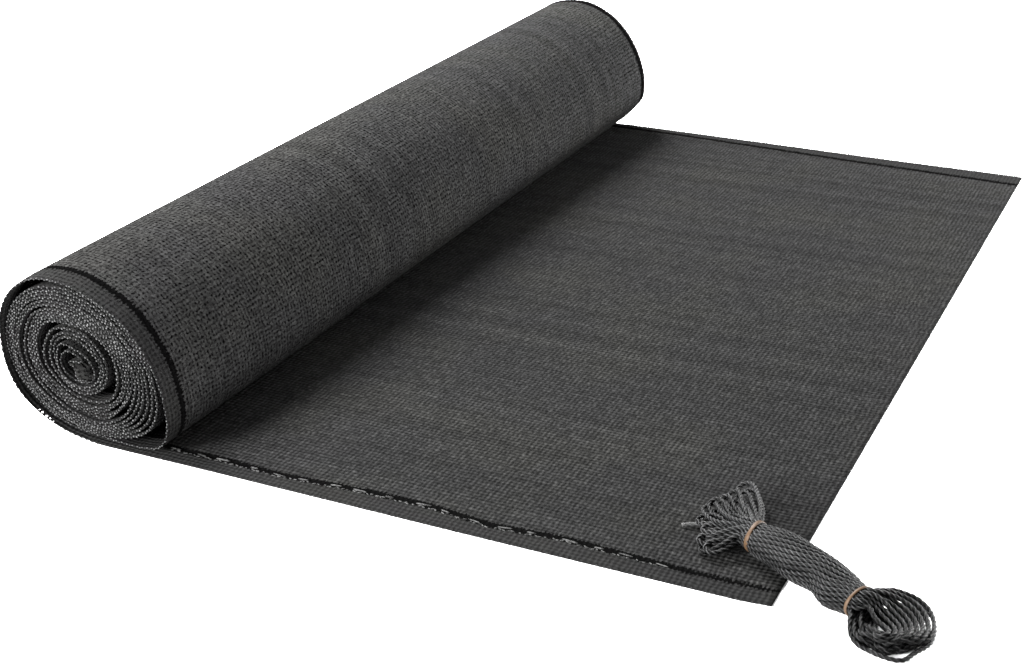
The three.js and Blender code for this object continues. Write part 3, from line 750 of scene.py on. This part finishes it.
class ClothRun:
    """The cloth's run from its cut end to the core, in rows: near and far middle lines as x and z,
    run length, turn number, places of both edges and hem lines across, the hem's half thickness,
    and how far each row is on the roll, on the floor, free, under painted shade or leaning. The
    near edge is drawn in on top by the pull, to near_rim."""

    def __init__(self):
        flat_x = np.concatenate([np.linspace(*stretch, endpoint=False) for stretch in FLAT_ROWS])
        rest = CLOTH_HALF_THICKNESS + FLOOR_GAP
        flat = np.stack([flat_x, np.full_like(flat_x, rest)], -1)
        last = WINDING[-1, 0]
        turns = np.concatenate([
            np.linspace(1, CORE_TURN, int((CORE_TURN - 1) * STEPS_PER_TURN))[:-1],
            np.linspace(CORE_TURN, last, int((last - CORE_TURN) * STEPS_PER_CORE_TURN)),
        ])
        lines = []
        for columns, core in ((slice(0, 2), CORE_NEAR), (slice(2, 4), CORE_FAR)):
            wound = winding_line(turns, core)
            tail = np.array(core[:2]) + core[2] * (CORE_TAIL - np.array(CORE_NEAR[:2]))
            tail = smooth_line(np.vstack([wound[-1:], tail]), TAIL_STEPS_PER_POINT)[1:]
            wound = np.vstack([wound, tail])
            stops = np.vstack([[LIFT_OFF_X, rest], OUTER_WRAP[:, columns], wound[:1]])
            lines.append(np.vstack([flat, smooth_line(stops, WRAP_STEPS_PER_POINT)[:-1], wound]))
        self.near, self.far = lines
        turns = np.concatenate([turns, last + TAIL_TURNS * np.arange(1, len(tail) + 1) / len(tail)])
        rows = len(self.near)
        index = np.arange(rows)
        wrap_end = rows - len(turns)
        past_flat, before_turns = index - len(flat), index < wrap_end
        self.run = run_length(self.near)
        self.turn = np.concatenate([np.ones(wrap_end), turns])
        self.on_roll = smoothstep(past_flat, 0, ON_ROLL_ROWS)
        self.on_floor = past_flat < ON_FLOOR_ROWS
        self.free = smoothstep(past_flat, *FREE_ROWS[:2])
        self.free *= 1 - smoothstep(past_flat, *FREE_ROWS[2:])

        ahead = np.gradient(self.near, axis=0)
        outward = np.stack([-ahead[:, 1], ahead[:, 0]], -1)
        outward /= np.linalg.norm(outward, axis=1)[:, None]
        facing = smoothstep(outward[:, 1], *RIM_PULL_FACING)
        self.pull = RIM_PULL * facing * self.on_roll * before_turns
        self.near_rim = self.near - self.pull[:, None] * outward
        # Painted shade where the outer wrap turns in under the roll.
        self.under = UNDER_SHADE * smoothstep(index - wrap_end, *UNDER_ROWS) * before_turns
        self.lean = TAIL_LEAN * smoothstep(index - rows, *TAIL_LEAN_ROWS)

        tuck = smoothstep(index, wrap_end - TUCK_POINTS * WRAP_STEPS_PER_POINT, wrap_end)
        back = tuck * np.interp(
            self.turn, [*WINDING[:, 0], last + TAIL_TURNS], [*WINDING[:, -1], TAIL_SET_BACK])
        wound_share = smoothstep(index - wrap_end, 0, WOUND_ROWS)
        wander = wound_share * WANDER * ripple(self.run, WANDER_LENGTHS, WANDER_PHASE)
        x = np.maximum(self.near[:, 0], MEETING_X)
        x = np.where(past_flat < 0, x, MEETING_X)
        places = []
        for column, on_roll in (
            (NEAR_EDGE, 0), (NEAR_HEM, ROLL_NEAR_HEM),
            (FAR_HEM, CLOTH_WIDTH - ROLL_FAR_HEM), (FAR_EDGE, CLOTH_WIDTH),
        ):
            loose = table_at(LOOSE_END, column, x)
            places.append(loose + self.on_roll * (on_roll - loose) + back + wander)
        self.near_edge, self.near_hem, self.far_hem, self.far_edge = places

        radius = np.linalg.norm(self.near - np.array(CORE_NEAR[:2]), axis=1)
        inner = np.interp(self.turn + 1, self.turn[wrap_end:], radius[wrap_end:], right=0)
        stated = np.where(self.turn < last, LAST_TURN_SPACING, TAIL_SPACING)
        spacing = np.where(self.turn < last - 1, radius - inner, stated)
        spacing = smoothed(smoothed(spacing[:, None]))[:, 0]
        wound_half = np.clip(
            HEM_SPACING_SHARE * spacing, HEM_HALF_THICKNESS, HEM_HALF_THICKNESS_MOST)
        self.hem_half = HEM_HALF_THICKNESS * (1 - FREE_HEM_THINNING * self.free)
        self.hem_half += wound_share * (wound_half - HEM_HALF_THICKNESS)


def screen_cloth(cloth):
    """The cloth as one closed sheet. Its section, a thin band with rounded edges and a doubled hem
    along each, is carried along the run, straight between the near and far middle lines. The near
    edge's pull fades with depth, the inner end's lean grows and then fades, and on the floor the
    cloth rests on its lower face."""
    share, past, hem, plain, seam = HEM_STATIONS.T
    near_width = (cloth.near_hem - cloth.near_edge)[:, None]
    far_width = (cloth.far_edge - cloth.far_hem)[:, None]
    near_part = cloth.near_edge[:, None] + near_width * share + past
    far_part = (cloth.far_edge[:, None] - far_width * share - past)[:, ::-1]
    start, stop = near_part[:, -1:], far_part[:, :1]
    across = np.hstack([near_part, start + (stop - start) * FIELD_SHARES, far_part])
    hem_shape = np.concatenate([hem, np.zeros(len(FIELD_SHARES)), hem[::-1]])
    plain_shape = np.concatenate([plain, np.ones(len(FIELD_SHARES)), plain[::-1]])
    half = cloth.hem_half[:, None] * hem_shape + CLOTH_HALF_THICKNESS * plain_shape

    depth = across - cloth.near_edge[:, None]
    place = (depth / (cloth.far_edge - cloth.near_edge)[:, None])[..., None]
    middle = cloth.near[:, None] * (1 - place) + cloth.far[:, None] * place
    ahead = np.gradient(middle, axis=0)
    ahead /= np.linalg.norm(ahead, axis=-1)[..., None]
    outward = np.stack([-ahead[..., 1], ahead[..., 0]], -1)
    middle -= (cloth.pull[:, None] * np.exp(-depth / RIM_PULL_DEPTH))[..., None] * outward
    inside = depth / TAIL_LEAN_DEPTH
    middle[..., 0] += cloth.lean[:, None] * inside * np.exp(1 - inside)
    low = (1 - smoothstep(middle[..., 1], *LIFTED_BELOW)) * cloth.on_floor[:, None]
    middle[..., 1] += low * (half - CLOTH_HALF_THICKNESS)
    upper = middle - outward * half[..., None]
    lower = middle + outward * half[..., None]

    def ringed(values, others):
        return np.concatenate([values, others[:, -2:0:-1]], axis=1)

    ring = ringed(upper, lower)
    ring_across, ring_depth = ringed(across, across), ringed(depth, depth)
    points = np.stack([ring[..., 0], ring_across, ring[..., 1]], -1)
    run = np.broadcast_to(cloth.run[:, None], ring_across.shape)
    uv = np.stack([run, ring_depth], -1) * MM
    near_seam, far_seam = (
        (floor + (roll - floor) * cloth.on_roll)[:, None]
        for floor, roll in zip(SEAM_ON_FLOOR, SEAM_ON_ROLL)
    )
    near_seam *= np.interp(cloth.near[:, :1], (SEAM_FADE_X, CUT_END_X), (1, SEAM_AT_CUT_END))
    field = np.zeros((len(across), len(FIELD_SHARES)))
    seam = np.hstack([near_seam * seam, field, far_seam * seam[::-1]])
    sheer = cloth.free[:, None] * (depth < SHEER_DEPTH)
    face = np.zeros_like(depth)
    doubled = face + hem_shape
    rim = np.clip(1 - np.minimum(depth, depth[:, -1:] - depth), 0, 1)
    # Bare edges are darker, and the wrap's turn under the roll takes its painted shade.
    rim = np.maximum(rim, cloth.under[:, None])
    values = {
        "seam": ringed(seam, seam), "sheer": ringed(sheer, sheer), "hem": ringed(doubled, doubled),
        "rim": ringed(rim, rim), "back": ringed(face, face + 1),
    }
    rows, columns = ring_across.shape
    last = (rows - 1) * columns
    caps = [np.arange(columns)[::-1], last + np.arange(columns)]
    faces = quads(rows, columns, wrap_columns=True)[:, ::-1]
    return mesh_piece("screen_cloth", points, faces, uv, caps, values)


SELVEDGE_STEP = 0.62
SELVEDGE_SIDES = 5
BEAD_PITCH = 2.4
BEAD_LEAST = 0.3
BEAD_MOST_SHARE = 0.95
BEAD_STAGGER = 0.5
BEAD_DRIFT = 0.13
BEAD_DRIFT_RUN = 37.0
BEAD_STEADY, BEAD_UNEVEN = 0.55, 0.45
BEAD_STRAY = 0.9
BEAD_FLOOR_GAP = 0.01
# Share of the beads' painted highlight kept on the loose end, whose edge is darkened as painted
# shade.
LOOSE_BEADS = 0.25


def selvedge(name, line, edge, hem_half, brightness):
    """The knitted loops along one edge of the cloth: a thin tube on the edge whose radius swells
    into a bead at every stitch, by turns on one side of the hem and on the other."""
    path = np.column_stack([line[:, 0], edge, line[:, 1]])
    run = run_length(path)
    even = np.linspace(0, run[-1], int(run[-1] / SELVEDGE_STEP))
    path = np.stack([np.interp(even, run, path[:, k]) for k in range(3)], -1)
    most = np.interp(even, run, hem_half)
    phase = even / BEAD_PITCH + BEAD_DRIFT * np.sin(even / BEAD_DRIFT_RUN)
    bead_number = np.round(phase)
    uneven = 0.5 + 0.5 * np.sin(2.3 * bead_number) * np.sin(5.9 * bead_number)
    swell = np.clip(np.cos(2 * np.pi * phase), 0, 1) * (BEAD_STEADY + BEAD_UNEVEN * uneven)
    radius = BEAD_LEAST + (BEAD_MOST_SHARE * most - BEAD_LEAST) * swell
    ahead = np.gradient(path, axis=0)
    outward = np.stack([-ahead[:, 2], ahead[:, 0]], -1)
    outward /= np.maximum(np.linalg.norm(outward, axis=1), 1e-6)[:, None]
    side = BEAD_STAGGER * most * np.cos(np.pi * phase)
    path[:, [0, 2]] += side[:, None] * outward
    path[:, 1] += BEAD_STRAY * (uneven - 0.5) * swell
    path[:, 2] = np.maximum(path[:, 2], radius + BEAD_FLOOR_GAP)
    # Painted highlight on each bead, by the given brightness.
    bead = swell * np.interp(even, run, brightness)
    radius, bead = (np.tile(value[:, None], (1, SELVEDGE_SIDES)) for value in (radius, bead))
    return tube(name, path, radius, even, {"crest": bead})


# Thread beside the near hem, as long stitches and as short slanting ones: pitch, length, radius,
# distance from the hem's inner line, straying along it and slant.
STITCHED_X = (62.0, 428.0)
STITCH_PITCH = (21.5, 3.6)
STITCH_LENGTH = np.array([9.0, 2.4])
STITCH_RADIUS = np.array([0.65, 0.5])
STITCH_INSET = np.array([1.1, 3.5])
STITCH_STRAY = np.array([2.4, 0.9])
STITCH_SLANT = np.array([0.1, 0.5])
STITCH_PROUD = 0.12
STITCH_FLATNESS = 0.8
STITCH_STATIONS = np.array([
    (-0.5, 0.15), (-0.42, 0.8), (-0.2, 1), (0, 0.95), (0.2, 1), (0.42, 0.8), (0.5, 0.15),
])
STITCH_SIDES = 6


def hem_stitches(name):
    """Thread along the near hem's inner line: long stitches and, nearer the edge, short slanting
    ones. Each is a thin closed rod, a little different from the next."""
    rows_at = [np.arange(*STITCHED_X, pitch) for pitch in STITCH_PITCH]
    kind = np.repeat([0, 1], [len(at) for at in rows_at])
    middle = np.concatenate(rows_at)
    number = np.arange(len(middle))
    middle = middle + STITCH_STRAY[kind] * np.sin(number * 2.3) + np.sin(number * 5.1)
    length = STITCH_LENGTH[kind] * (1 + 0.3 * np.sin(number * 3.7))
    thick = STITCH_RADIUS[kind] * (1 + 0.2 * np.sin(number * 7.3))
    share, swell = STITCH_STATIONS.T
    x = middle[:, None] + length[:, None] * share
    inset = STITCH_INSET[kind] + 0.5 * np.sin(number * 1.9)
    slant = STITCH_SLANT[kind] * np.sin(number * 4.3)
    y = table_at(LOOSE_END, NEAR_HEM, x) - inset[:, None] + (slant * length)[:, None] * share
    z = np.full_like(x, 2 * HEM_HALF_THICKNESS + FLOOR_GAP + STITCH_PROUD)
    around = 2 * np.pi * np.arange(STITCH_SIDES) / STITCH_SIDES
    radius = thick[:, None, None] * swell[None, :, None]
    points = np.stack(np.broadcast_arrays(
        x[..., None],
        y[..., None] + radius * np.cos(around),
        z[..., None] + STITCH_FLATNESS * radius * np.sin(around),
    ), -1)
    rows = len(share)
    block = quads(rows, STITCH_SIDES, wrap_columns=True)[:, ::-1]
    start = (number * rows * STITCH_SIDES)[:, None, None]
    faces = (block[None] + start).reshape(-1, 4)
    closing = tube_ends(rows, STITCH_SIDES)
    ends = [end[::-1] + int(first) for first in start.ravel() for end in closing]
    # Painted highlight along each stitch's middle, painted shade at its ends.
    crest = np.broadcast_to(swell[None, :, None], points.shape[:3])
    uv = np.stack(np.broadcast_arrays(x[..., None] * MM, around / (2 * np.pi)), -1)
    return mesh_piece(name, points, faces, uv, ends, {"crest": crest})


YARN_PITCH = 5.2
YARN_STEPS = 10
YARN_RADIUS = 0.5
YARN_SIDES = 5
YARN_START_X = 57.0
YARN_INSET = 0.4
YARN_HALF_WIDTH = 1.3
YARN_HALF_HEIGHT = 1.55
YARN_LOWEST = 0.6
YARN_UNEVEN = 0.3
YARN_UNEVEN_TURNS = (1.9, 4.3, 7.7)
YARN_SLANT = 1.1


def edge_yarn(name):
    """Overcast yarn on the far edge of the loose end: a thread that goes round the edge again and
    again, each time a little different in height and width."""
    count = int((CUT_END_X - YARN_START_X - 1) / YARN_PITCH)
    turn = np.arange(count * YARN_STEPS + 1) / YARN_STEPS
    number = np.floor(turn)
    tall = YARN_HALF_HEIGHT * (1 + YARN_UNEVEN * ripple(turn, YARN_UNEVEN_TURNS, 0.6))
    angle = 2 * np.pi * turn
    x = YARN_START_X + turn * YARN_PITCH + YARN_SLANT * np.sin(angle) * np.sin(2.1 * number)
    y = table_at(LOOSE_END, FAR_EDGE, x) - YARN_INSET + YARN_HALF_WIDTH * np.cos(angle)
    z = YARN_LOWEST + tall * (1 + np.sin(angle))
    radius = np.full((len(turn), YARN_SIDES), YARN_RADIUS)
    # Painted highlight on top of each turn, painted shade under it.
    crest = np.repeat(0.5 + 0.5 * np.sin(angle)[:, None], YARN_SIDES, 1)
    return tube(name, np.stack([x, y, z], -1), radius, x, {"crest": crest})


class Nodes:
    """A material's node tree, with short calls for the nodes that the finishes share. A ramp's
    limits are the two values that it runs between and the results at those two."""

    def __init__(self, name):
        self.material = bpy.data.materials.new(name)
        self.material.use_nodes = True
        self.tree = self.material.node_tree
        self.shader = self.tree.nodes["Principled BSDF"]

    def link(self, source, socket):
        self.tree.links.new(source, socket)

    def feed(self, value, socket):
        if isinstance(value, tuple):
            missing = len(socket.default_value) - len(value)
            socket.default_value = (*value, *[1.0] * missing)
        elif isinstance(value, (int, float)):
            socket.default_value = value
        else:
            self.link(value, socket)

    def node(self, kind, inputs=(), **settings):
        made = self.tree.nodes.new(kind)
        for key, value in settings.items():
            setattr(made, key, value)
        for key, value in dict(inputs).items():
            self.feed(value, made.inputs[key])
        return made

    def surface(self, colour, roughness, specular):
        self.feed(colour, self.shader.inputs["Base Color"])
        self.feed(roughness, self.shader.inputs["Roughness"])
        self.feed(specular, self.shader.inputs["Specular IOR Level"])

    def math(self, operation, *values, clamp=False):
        made = self.node("ShaderNodeMath", enumerate(values), operation=operation, use_clamp=clamp)
        return made.outputs[0]

    def noise(self, place, scale, detail=2.0, dimensions="3D"):
        inputs = {"Scale": scale, "Detail": detail, "W" if dimensions == "1D" else "Vector": place}
        return self.node("ShaderNodeTexNoise", inputs, noise_dimensions=dimensions).outputs["Fac"]

    def stretched(self, vector, x, y):
        return self.node("ShaderNodeMapping", {"Vector": vector, "Scale": (x, y)}).outputs[0]

    def cell(self, *values):
        vector = self.node("ShaderNodeCombineXYZ", enumerate(values)).outputs[0]
        made = self.node("ShaderNodeTexWhiteNoise", {"Vector": vector}, noise_dimensions="2D")
        return made.outputs["Value"]

    def ramp(self, value, *limits):
        return self.node("ShaderNodeMapRange", enumerate((value, *limits)), clamp=True).outputs[0]

    def vary(self, tone, value, *limits):
        return self.math("MULTIPLY", tone, self.ramp(value, *limits))

    def mix(self, share, first, second):
        inputs = {"Factor": share, 6: first, 7: second}
        return self.node("ShaderNodeMix", inputs, data_type="RGBA").outputs[2]

    def bump(self, height, strength, distance):
        inputs = {"Height": height, "Strength": strength, "Distance": distance}
        made = self.node("ShaderNodeBump", inputs)
        self.link(made.outputs[0], self.shader.inputs["Normal"])

    def uv(self):
        split = self.node("ShaderNodeSeparateXYZ")
        source = self.node("ShaderNodeUVMap", uv_map="lay")
        self.link(source.outputs[0], split.inputs[0])
        return split.outputs[0], split.outputs[1], source.outputs[0]

    def attribute(self, name):
        return self.node("ShaderNodeAttribute", attribute_name=name).outputs["Fac"]


KNIT_ROW = 0.00379
KNIT_STITCH = 0.0037
# Cloth: near black where its tone is low, which is painted shade in the knit's holes and under the
# roll, then its grey and olive.
CLOTH_DARK = (0.0006, 0.0006, 0.0006)
CLOTH_GREY = (0.0275, 0.0275, 0.0275)
CLOTH_OLIVE = (0.0277, 0.0276, 0.0265)
CLOTH_FACE_TONE = 0.6
CLOTH_BACK_TONE = 0.63
HEM_TONE = 0.5
# Tone at a bare edge and in the painted shade where the outer wrap turns in under the roll.
RIM_TONE = 0.3
# Near black of the lines by the hems: stitching and painted shadow of the hem's inner edge.
SEAM_AND_SHADOW_DARK = (0.0011, 0.0011, 0.0011)
SEAM_SAW = 0.0027
HOLE_WEAVE = -0.85
HOLE_GRAIN = 0.4
HOLE_SHEER = 0.4
# Cord: near black for the painted shade between plies and pale grey for the painted highlight on
# their crests.
CORD_DARK = (0.0003, 0.0003, 0.0003)
CORD_LIGHT = (0.055, 0.0555, 0.0562)
CORD_FRAYED = (0.065, 0.065, 0.064)
FRAYED_LENGTH = 0.034
# Tone of the painted shade on the cord in the wide loops.
LOOP_PAINTED_SHADE_TONE = 0.42
BAND_DARK = (0.021, 0.0117, 0.0058)
BAND_LIGHT = (0.046, 0.0268, 0.014)
# Beads and thread: near black for painted shade, paler for the painted highlight on crests.
BEAD_DARK = (0.0008, 0.0008, 0.0008)
BEAD_LIGHT = (0.1, 0.1, 0.1)
THREAD_DARK = (0.0018, 0.0018, 0.0018)
THREAD_LIGHT = (0.04, 0.04, 0.0393)


def knit_finish():
    """Knitted cloth: stitches with a bright bar and a brightness of their own, holes between them
    kept near black as painted shade, faint streaks along the run, dark ragged lines by the hems
    that are stitching and painted shadow of the hems' inner edges, and open holes where the outer
    wrap hangs free. The face outside on the roll is closer, the hems are finer, bare edges are
    darker, and the wrap's turn under the roll is darkened by painted shade."""
    n = Nodes("knitted_cloth")
    along, across, flat = n.uv()
    back, hem = n.attribute("back"), n.attribute("hem")
    wobble = n.math("SUBTRACT", n.noise(flat, 110.0, 2.0, "2D"), 0.5)
    row = n.math("ADD", n.math("DIVIDE", across, KNIT_ROW), n.math("MULTIPLY", wobble, 0.6))
    stitch = n.math("ADD", n.math("DIVIDE", along, KNIT_STITCH), n.math("MULTIPLY", wobble, 0.7))
    ridge = n.math("COSINE", n.math("MULTIPLY", row, 2 * math.pi))
    beat = n.math("COSINE", n.math("MULTIPLY", stitch, 2 * math.pi))
    weave = n.math("ADD", ridge, beat)
    bars = n.ramp(weave, -3.6, 2.7, 0.0, 1.0)
    pits = n.math("SUBTRACT", n.noise(n.stretched(flat, 1.0, 0.8), 520.0, 2.0, "2D"), 0.5)
    holes = n.math("ADD", n.math("MULTIPLY", weave, 0.55), n.math("MULTIPLY", pits, 5.0))
    close = n.ramp(holes, -1.7, 0.1, 0.0, 1.0)
    relief = n.math("ADD", bars, n.math("MULTIPLY", back, n.math("SUBTRACT", close, bars)))
    grain = n.cell(n.math("ROUND", row), n.math("ROUND", stitch))
    wide = n.noise(across, 45.0, 2.0, "1D")
    fine = n.noise(across, 330.0, 2.0, "1D")
    patch = n.noise(flat, 11.0, 3.0, "2D")
    speckle = n.noise(n.stretched(flat, 1.0, 0.5), 560.0, 2.0, "2D")
    blotch = n.noise(flat, 95.0, 2.0, "2D")
    # The tone follows the knit's relief, painting shade into the holes between the stitches.
    tone = n.vary(relief, grain, 0.0, 1.0, 0.8, 1.2)
    tone = n.vary(tone, speckle, 0.35, 0.65, 0.68, 1.32)
    tone = n.vary(tone, blotch, 0.3, 0.7, 0.92, 1.08)
    tone = n.vary(tone, wide, 0.3, 0.7, 0.88, 1.12)
    tone = n.vary(tone, fine, 0.3, 0.7, 0.9, 1.1)
    tone = n.vary(tone, patch, 0.3, 0.7, 0.94, 1.06)
    lined = n.math("MULTIPLY", n.ramp(weave, -2, 2, 0.65, 1.35), HEM_TONE)
    smooth = n.math("MULTIPLY", hem, 0.7)
    tone = n.math("ADD", tone, n.math("MULTIPLY", smooth, n.math("SUBTRACT", lined, tone)))
    tone = n.vary(tone, back, 0.0, 1.0, CLOTH_FACE_TONE, CLOTH_BACK_TONE)
    tone = n.vary(tone, n.attribute("rim"), 0.0, 1.0, 1.0, RIM_TONE)
    light = n.mix(n.ramp(patch, 0.42, 0.66, 0.0, 1.0), CLOTH_GREY, CLOTH_OLIVE)
    colour = n.mix(n.math("MULTIPLY", tone, 1.0, clamp=True), CLOTH_DARK, light)
    # Ragged dark line by each hem: stitching and painted shadow of the hem's inner edge.
    saw = n.math("SUBTRACT", n.math("PINGPONG", n.math("DIVIDE", along, SEAM_SAW), 0.5), 0.25)
    torn = n.math("SUBTRACT", n.noise(flat, 320.0, 2.0, "2D"), 0.5)
    edge = n.math("ADD", n.attribute("seam"), n.math("MULTIPLY", saw, 0.7))
    edge = n.math("ADD", edge, n.math("MULTIPLY", torn, 0.9))
    sewn = n.ramp(edge, 0.48, 0.54, 0.0, 0.96)
    n.surface(n.mix(sewn, colour, SEAM_AND_SHADOW_DARK), 0.7, 0.0)
    between = n.math("LESS_THAN", weave, HOLE_WEAVE)
    slot = n.math("MULTIPLY", between, n.math("GREATER_THAN", grain, HOLE_GRAIN))
    sheer = n.math("GREATER_THAN", n.attribute("sheer"), HOLE_SHEER)
    opened = n.math("MULTIPLY", slot, sheer)
    n.link(n.math("SUBTRACT", 1.0, opened), n.shader.inputs["Alpha"])
    n.bump(n.math("ADD", relief, n.math("MULTIPLY", grain, 0.4)), 0.9, 0.001)
    return n.material


def thread_finish(name, dark, light):
    """Fine yarn: painted shade between its loops and a painted highlight on their crests, with
    uneven brightness from loop to loop."""
    n = Nodes(name)
    place = n.node("ShaderNodeTexCoord").outputs["Object"]
    uneven = n.noise(place, 330.0, 2.0)
    tone = n.vary(n.attribute("crest"), uneven, 0.36, 0.66, 0.06, 1.0)
    n.surface(n.mix(tone, dark, light), 0.55, 0.05)
    n.bump(n.noise(place, 1500.0, 2.0), 0.4, 0.0003)
    return n.material


def cord_finish():
    """Twisted cord: fine fibres along each ply, painted shade in the grooves between plies and a
    painted highlight on their crests, with a little uneven wear, painted shade in the wide loops
    and frayed pale at its loose end."""
    n = Nodes("twisted_cord")
    along, _, flat = n.uv()
    fibre = n.noise(n.stretched(flat, 90.0, 40.0), 6.0, 3.0, "2D")
    wear = n.noise(n.node("ShaderNodeTexCoord").outputs["Object"], 60.0, 2.0)
    # Painted highlight on each ply's crest, painted shade between plies.
    tone = n.vary(n.ramp(n.attribute("crest"), 0.86, 1.0, 0.0, 1.0), fibre, 0.3, 0.75, 0.55, 1.25)
    tone = n.vary(tone, wear, 0.3, 0.7, 0.75, 1.2)
    tone = n.vary(tone, n.noise(along, 16.0, 2.0, "1D"), 0.32, 0.68, 0.35, 1.45)
    tone = n.vary(tone, n.attribute("shaded"), 0.0, 1.0, 1.0, LOOP_PAINTED_SHADE_TONE)
    body = n.mix(n.math("MULTIPLY", tone, 1.0, clamp=True), CORD_DARK, CORD_LIGHT)
    frayed = n.vary(n.ramp(along, 0.0, FRAYED_LENGTH, 0.8, 0.0), fibre, 0.35, 0.6, 0.3, 1.0)
    n.surface(n.mix(frayed, body, CORD_FRAYED), 0.4, 0.06)
    n.bump(fibre, 0.5, 0.0004)
    return n.material


def band_finish():
    """Tan rubber with faint lengthwise streaks."""
    n = Nodes("tan_rubber")
    streak = n.noise(n.stretched(n.uv()[2], 6.0, 22.0), 3.0, 3.0, "2D")
    n.surface(n.mix(n.ramp(streak, 0.3, 0.7, 0.0, 1.0), BAND_DARK, BAND_LIGHT), 0.5, 0.1)
    n.bump(streak, 0.3, 0.0003)
    return n.material


FLOOR_HALF = 15.0
FLOOR_WHITE = (0.95, 0.95, 0.95)
SKY_STRENGTH = 1.0

# Lamps: name, direction to it, distance, size and power.
LAMPS = (
    ("broad_lamp", (-0.56, 0.42, 0.72), 2.3, 1.0, 400.0),
    ("end_lamp", (-0.4, -0.86, 0.25), 2.2, 0.8, 300.0),
    ("side_lamp", (0.8, 0.6, 0.17), 1.1, 0.5, 50.0),
)


def floor_and_light():
    """A plain white floor under an even pale sky, with a broad lamp from the upper left, a low one
    in front of the roll's near end and a weak one low on the right."""
    mesh = bpy.data.meshes.new("studio_floor")
    corners = [(x * FLOOR_HALF, y * FLOOR_HALF, 0) for x, y in ((-1, -1), (1, -1), (1, 1), (-1, 1))]
    mesh.from_pydata(corners, [], [(0, 1, 2, 3)])
    floor = new_object("studio_floor", mesh)
    n = Nodes("white_floor")
    n.surface(FLOOR_WHITE, 0.9, 0.1)
    mesh.materials.append(n.material)

    world = bpy.data.worlds.new("studio_sky")
    world.use_nodes = True
    sky = world.node_tree.nodes["Background"].inputs
    sky["Color"].default_value, sky["Strength"].default_value = (1, 1, 1, 1), SKY_STRENGTH
    bpy.context.scene.world = world
    for name, way, distance, size, energy in LAMPS:
        lamp = bpy.data.lights.new(name, "AREA")
        lamp.shape, lamp.size, lamp.energy = "DISK", size, energy
        placed = new_object(name, lamp)
        toward = Vector(way).normalized()
        placed.location = toward * distance
        placed.rotation_mode = "QUATERNION"
        placed.rotation_quaternion = (-toward).to_track_quat("-Z", "Y")
    bpy.context.scene.view_settings.view_transform = "Standard"


camera()

cord_path = smooth_path(settle(smooth_path(hank_line(), SETTLE_STEP)), CORD_STEP)
cord_path = hank_to_layout(cord_path)
cord, cord_length = laid_cord(cord_path)
bands = [elastic_band(name) for name in BAND_ALONG]
run = ClothRun()
cloth = screen_cloth(run)
# Bead highlights are painted, and dimmed on the loose end as painted shade.
bead_brightness = LOOSE_BEADS + (1 - LOOSE_BEADS) * run.on_roll
edges = [
    selvedge("near_selvedge", run.near_rim, run.near_edge, run.hem_half, bead_brightness),
    selvedge("far_selvedge", run.far, run.far_edge, run.hem_half, bead_brightness),
]
stitches = [hem_stitches("near_stitches"), edge_yarn("far_yarn")]

for pieces, finish in (
    ([cord], cord_finish()),
    ([cloth], knit_finish()),
    (bands, band_finish()),
    (edges, thread_finish("selvedge_loops", BEAD_DARK, BEAD_LIGHT)),
    (stitches, thread_finish("hem_thread", THREAD_DARK, THREAD_LIGHT)),
):
    for piece in pieces:
        piece.data.materials.append(finish)

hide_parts("cord_hank", "cord_loose_end")
for band, node in zip(bands, BAND_ALONG):
    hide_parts(node)
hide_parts("screen_roll", "screen_loose_end")

floor_and_light()
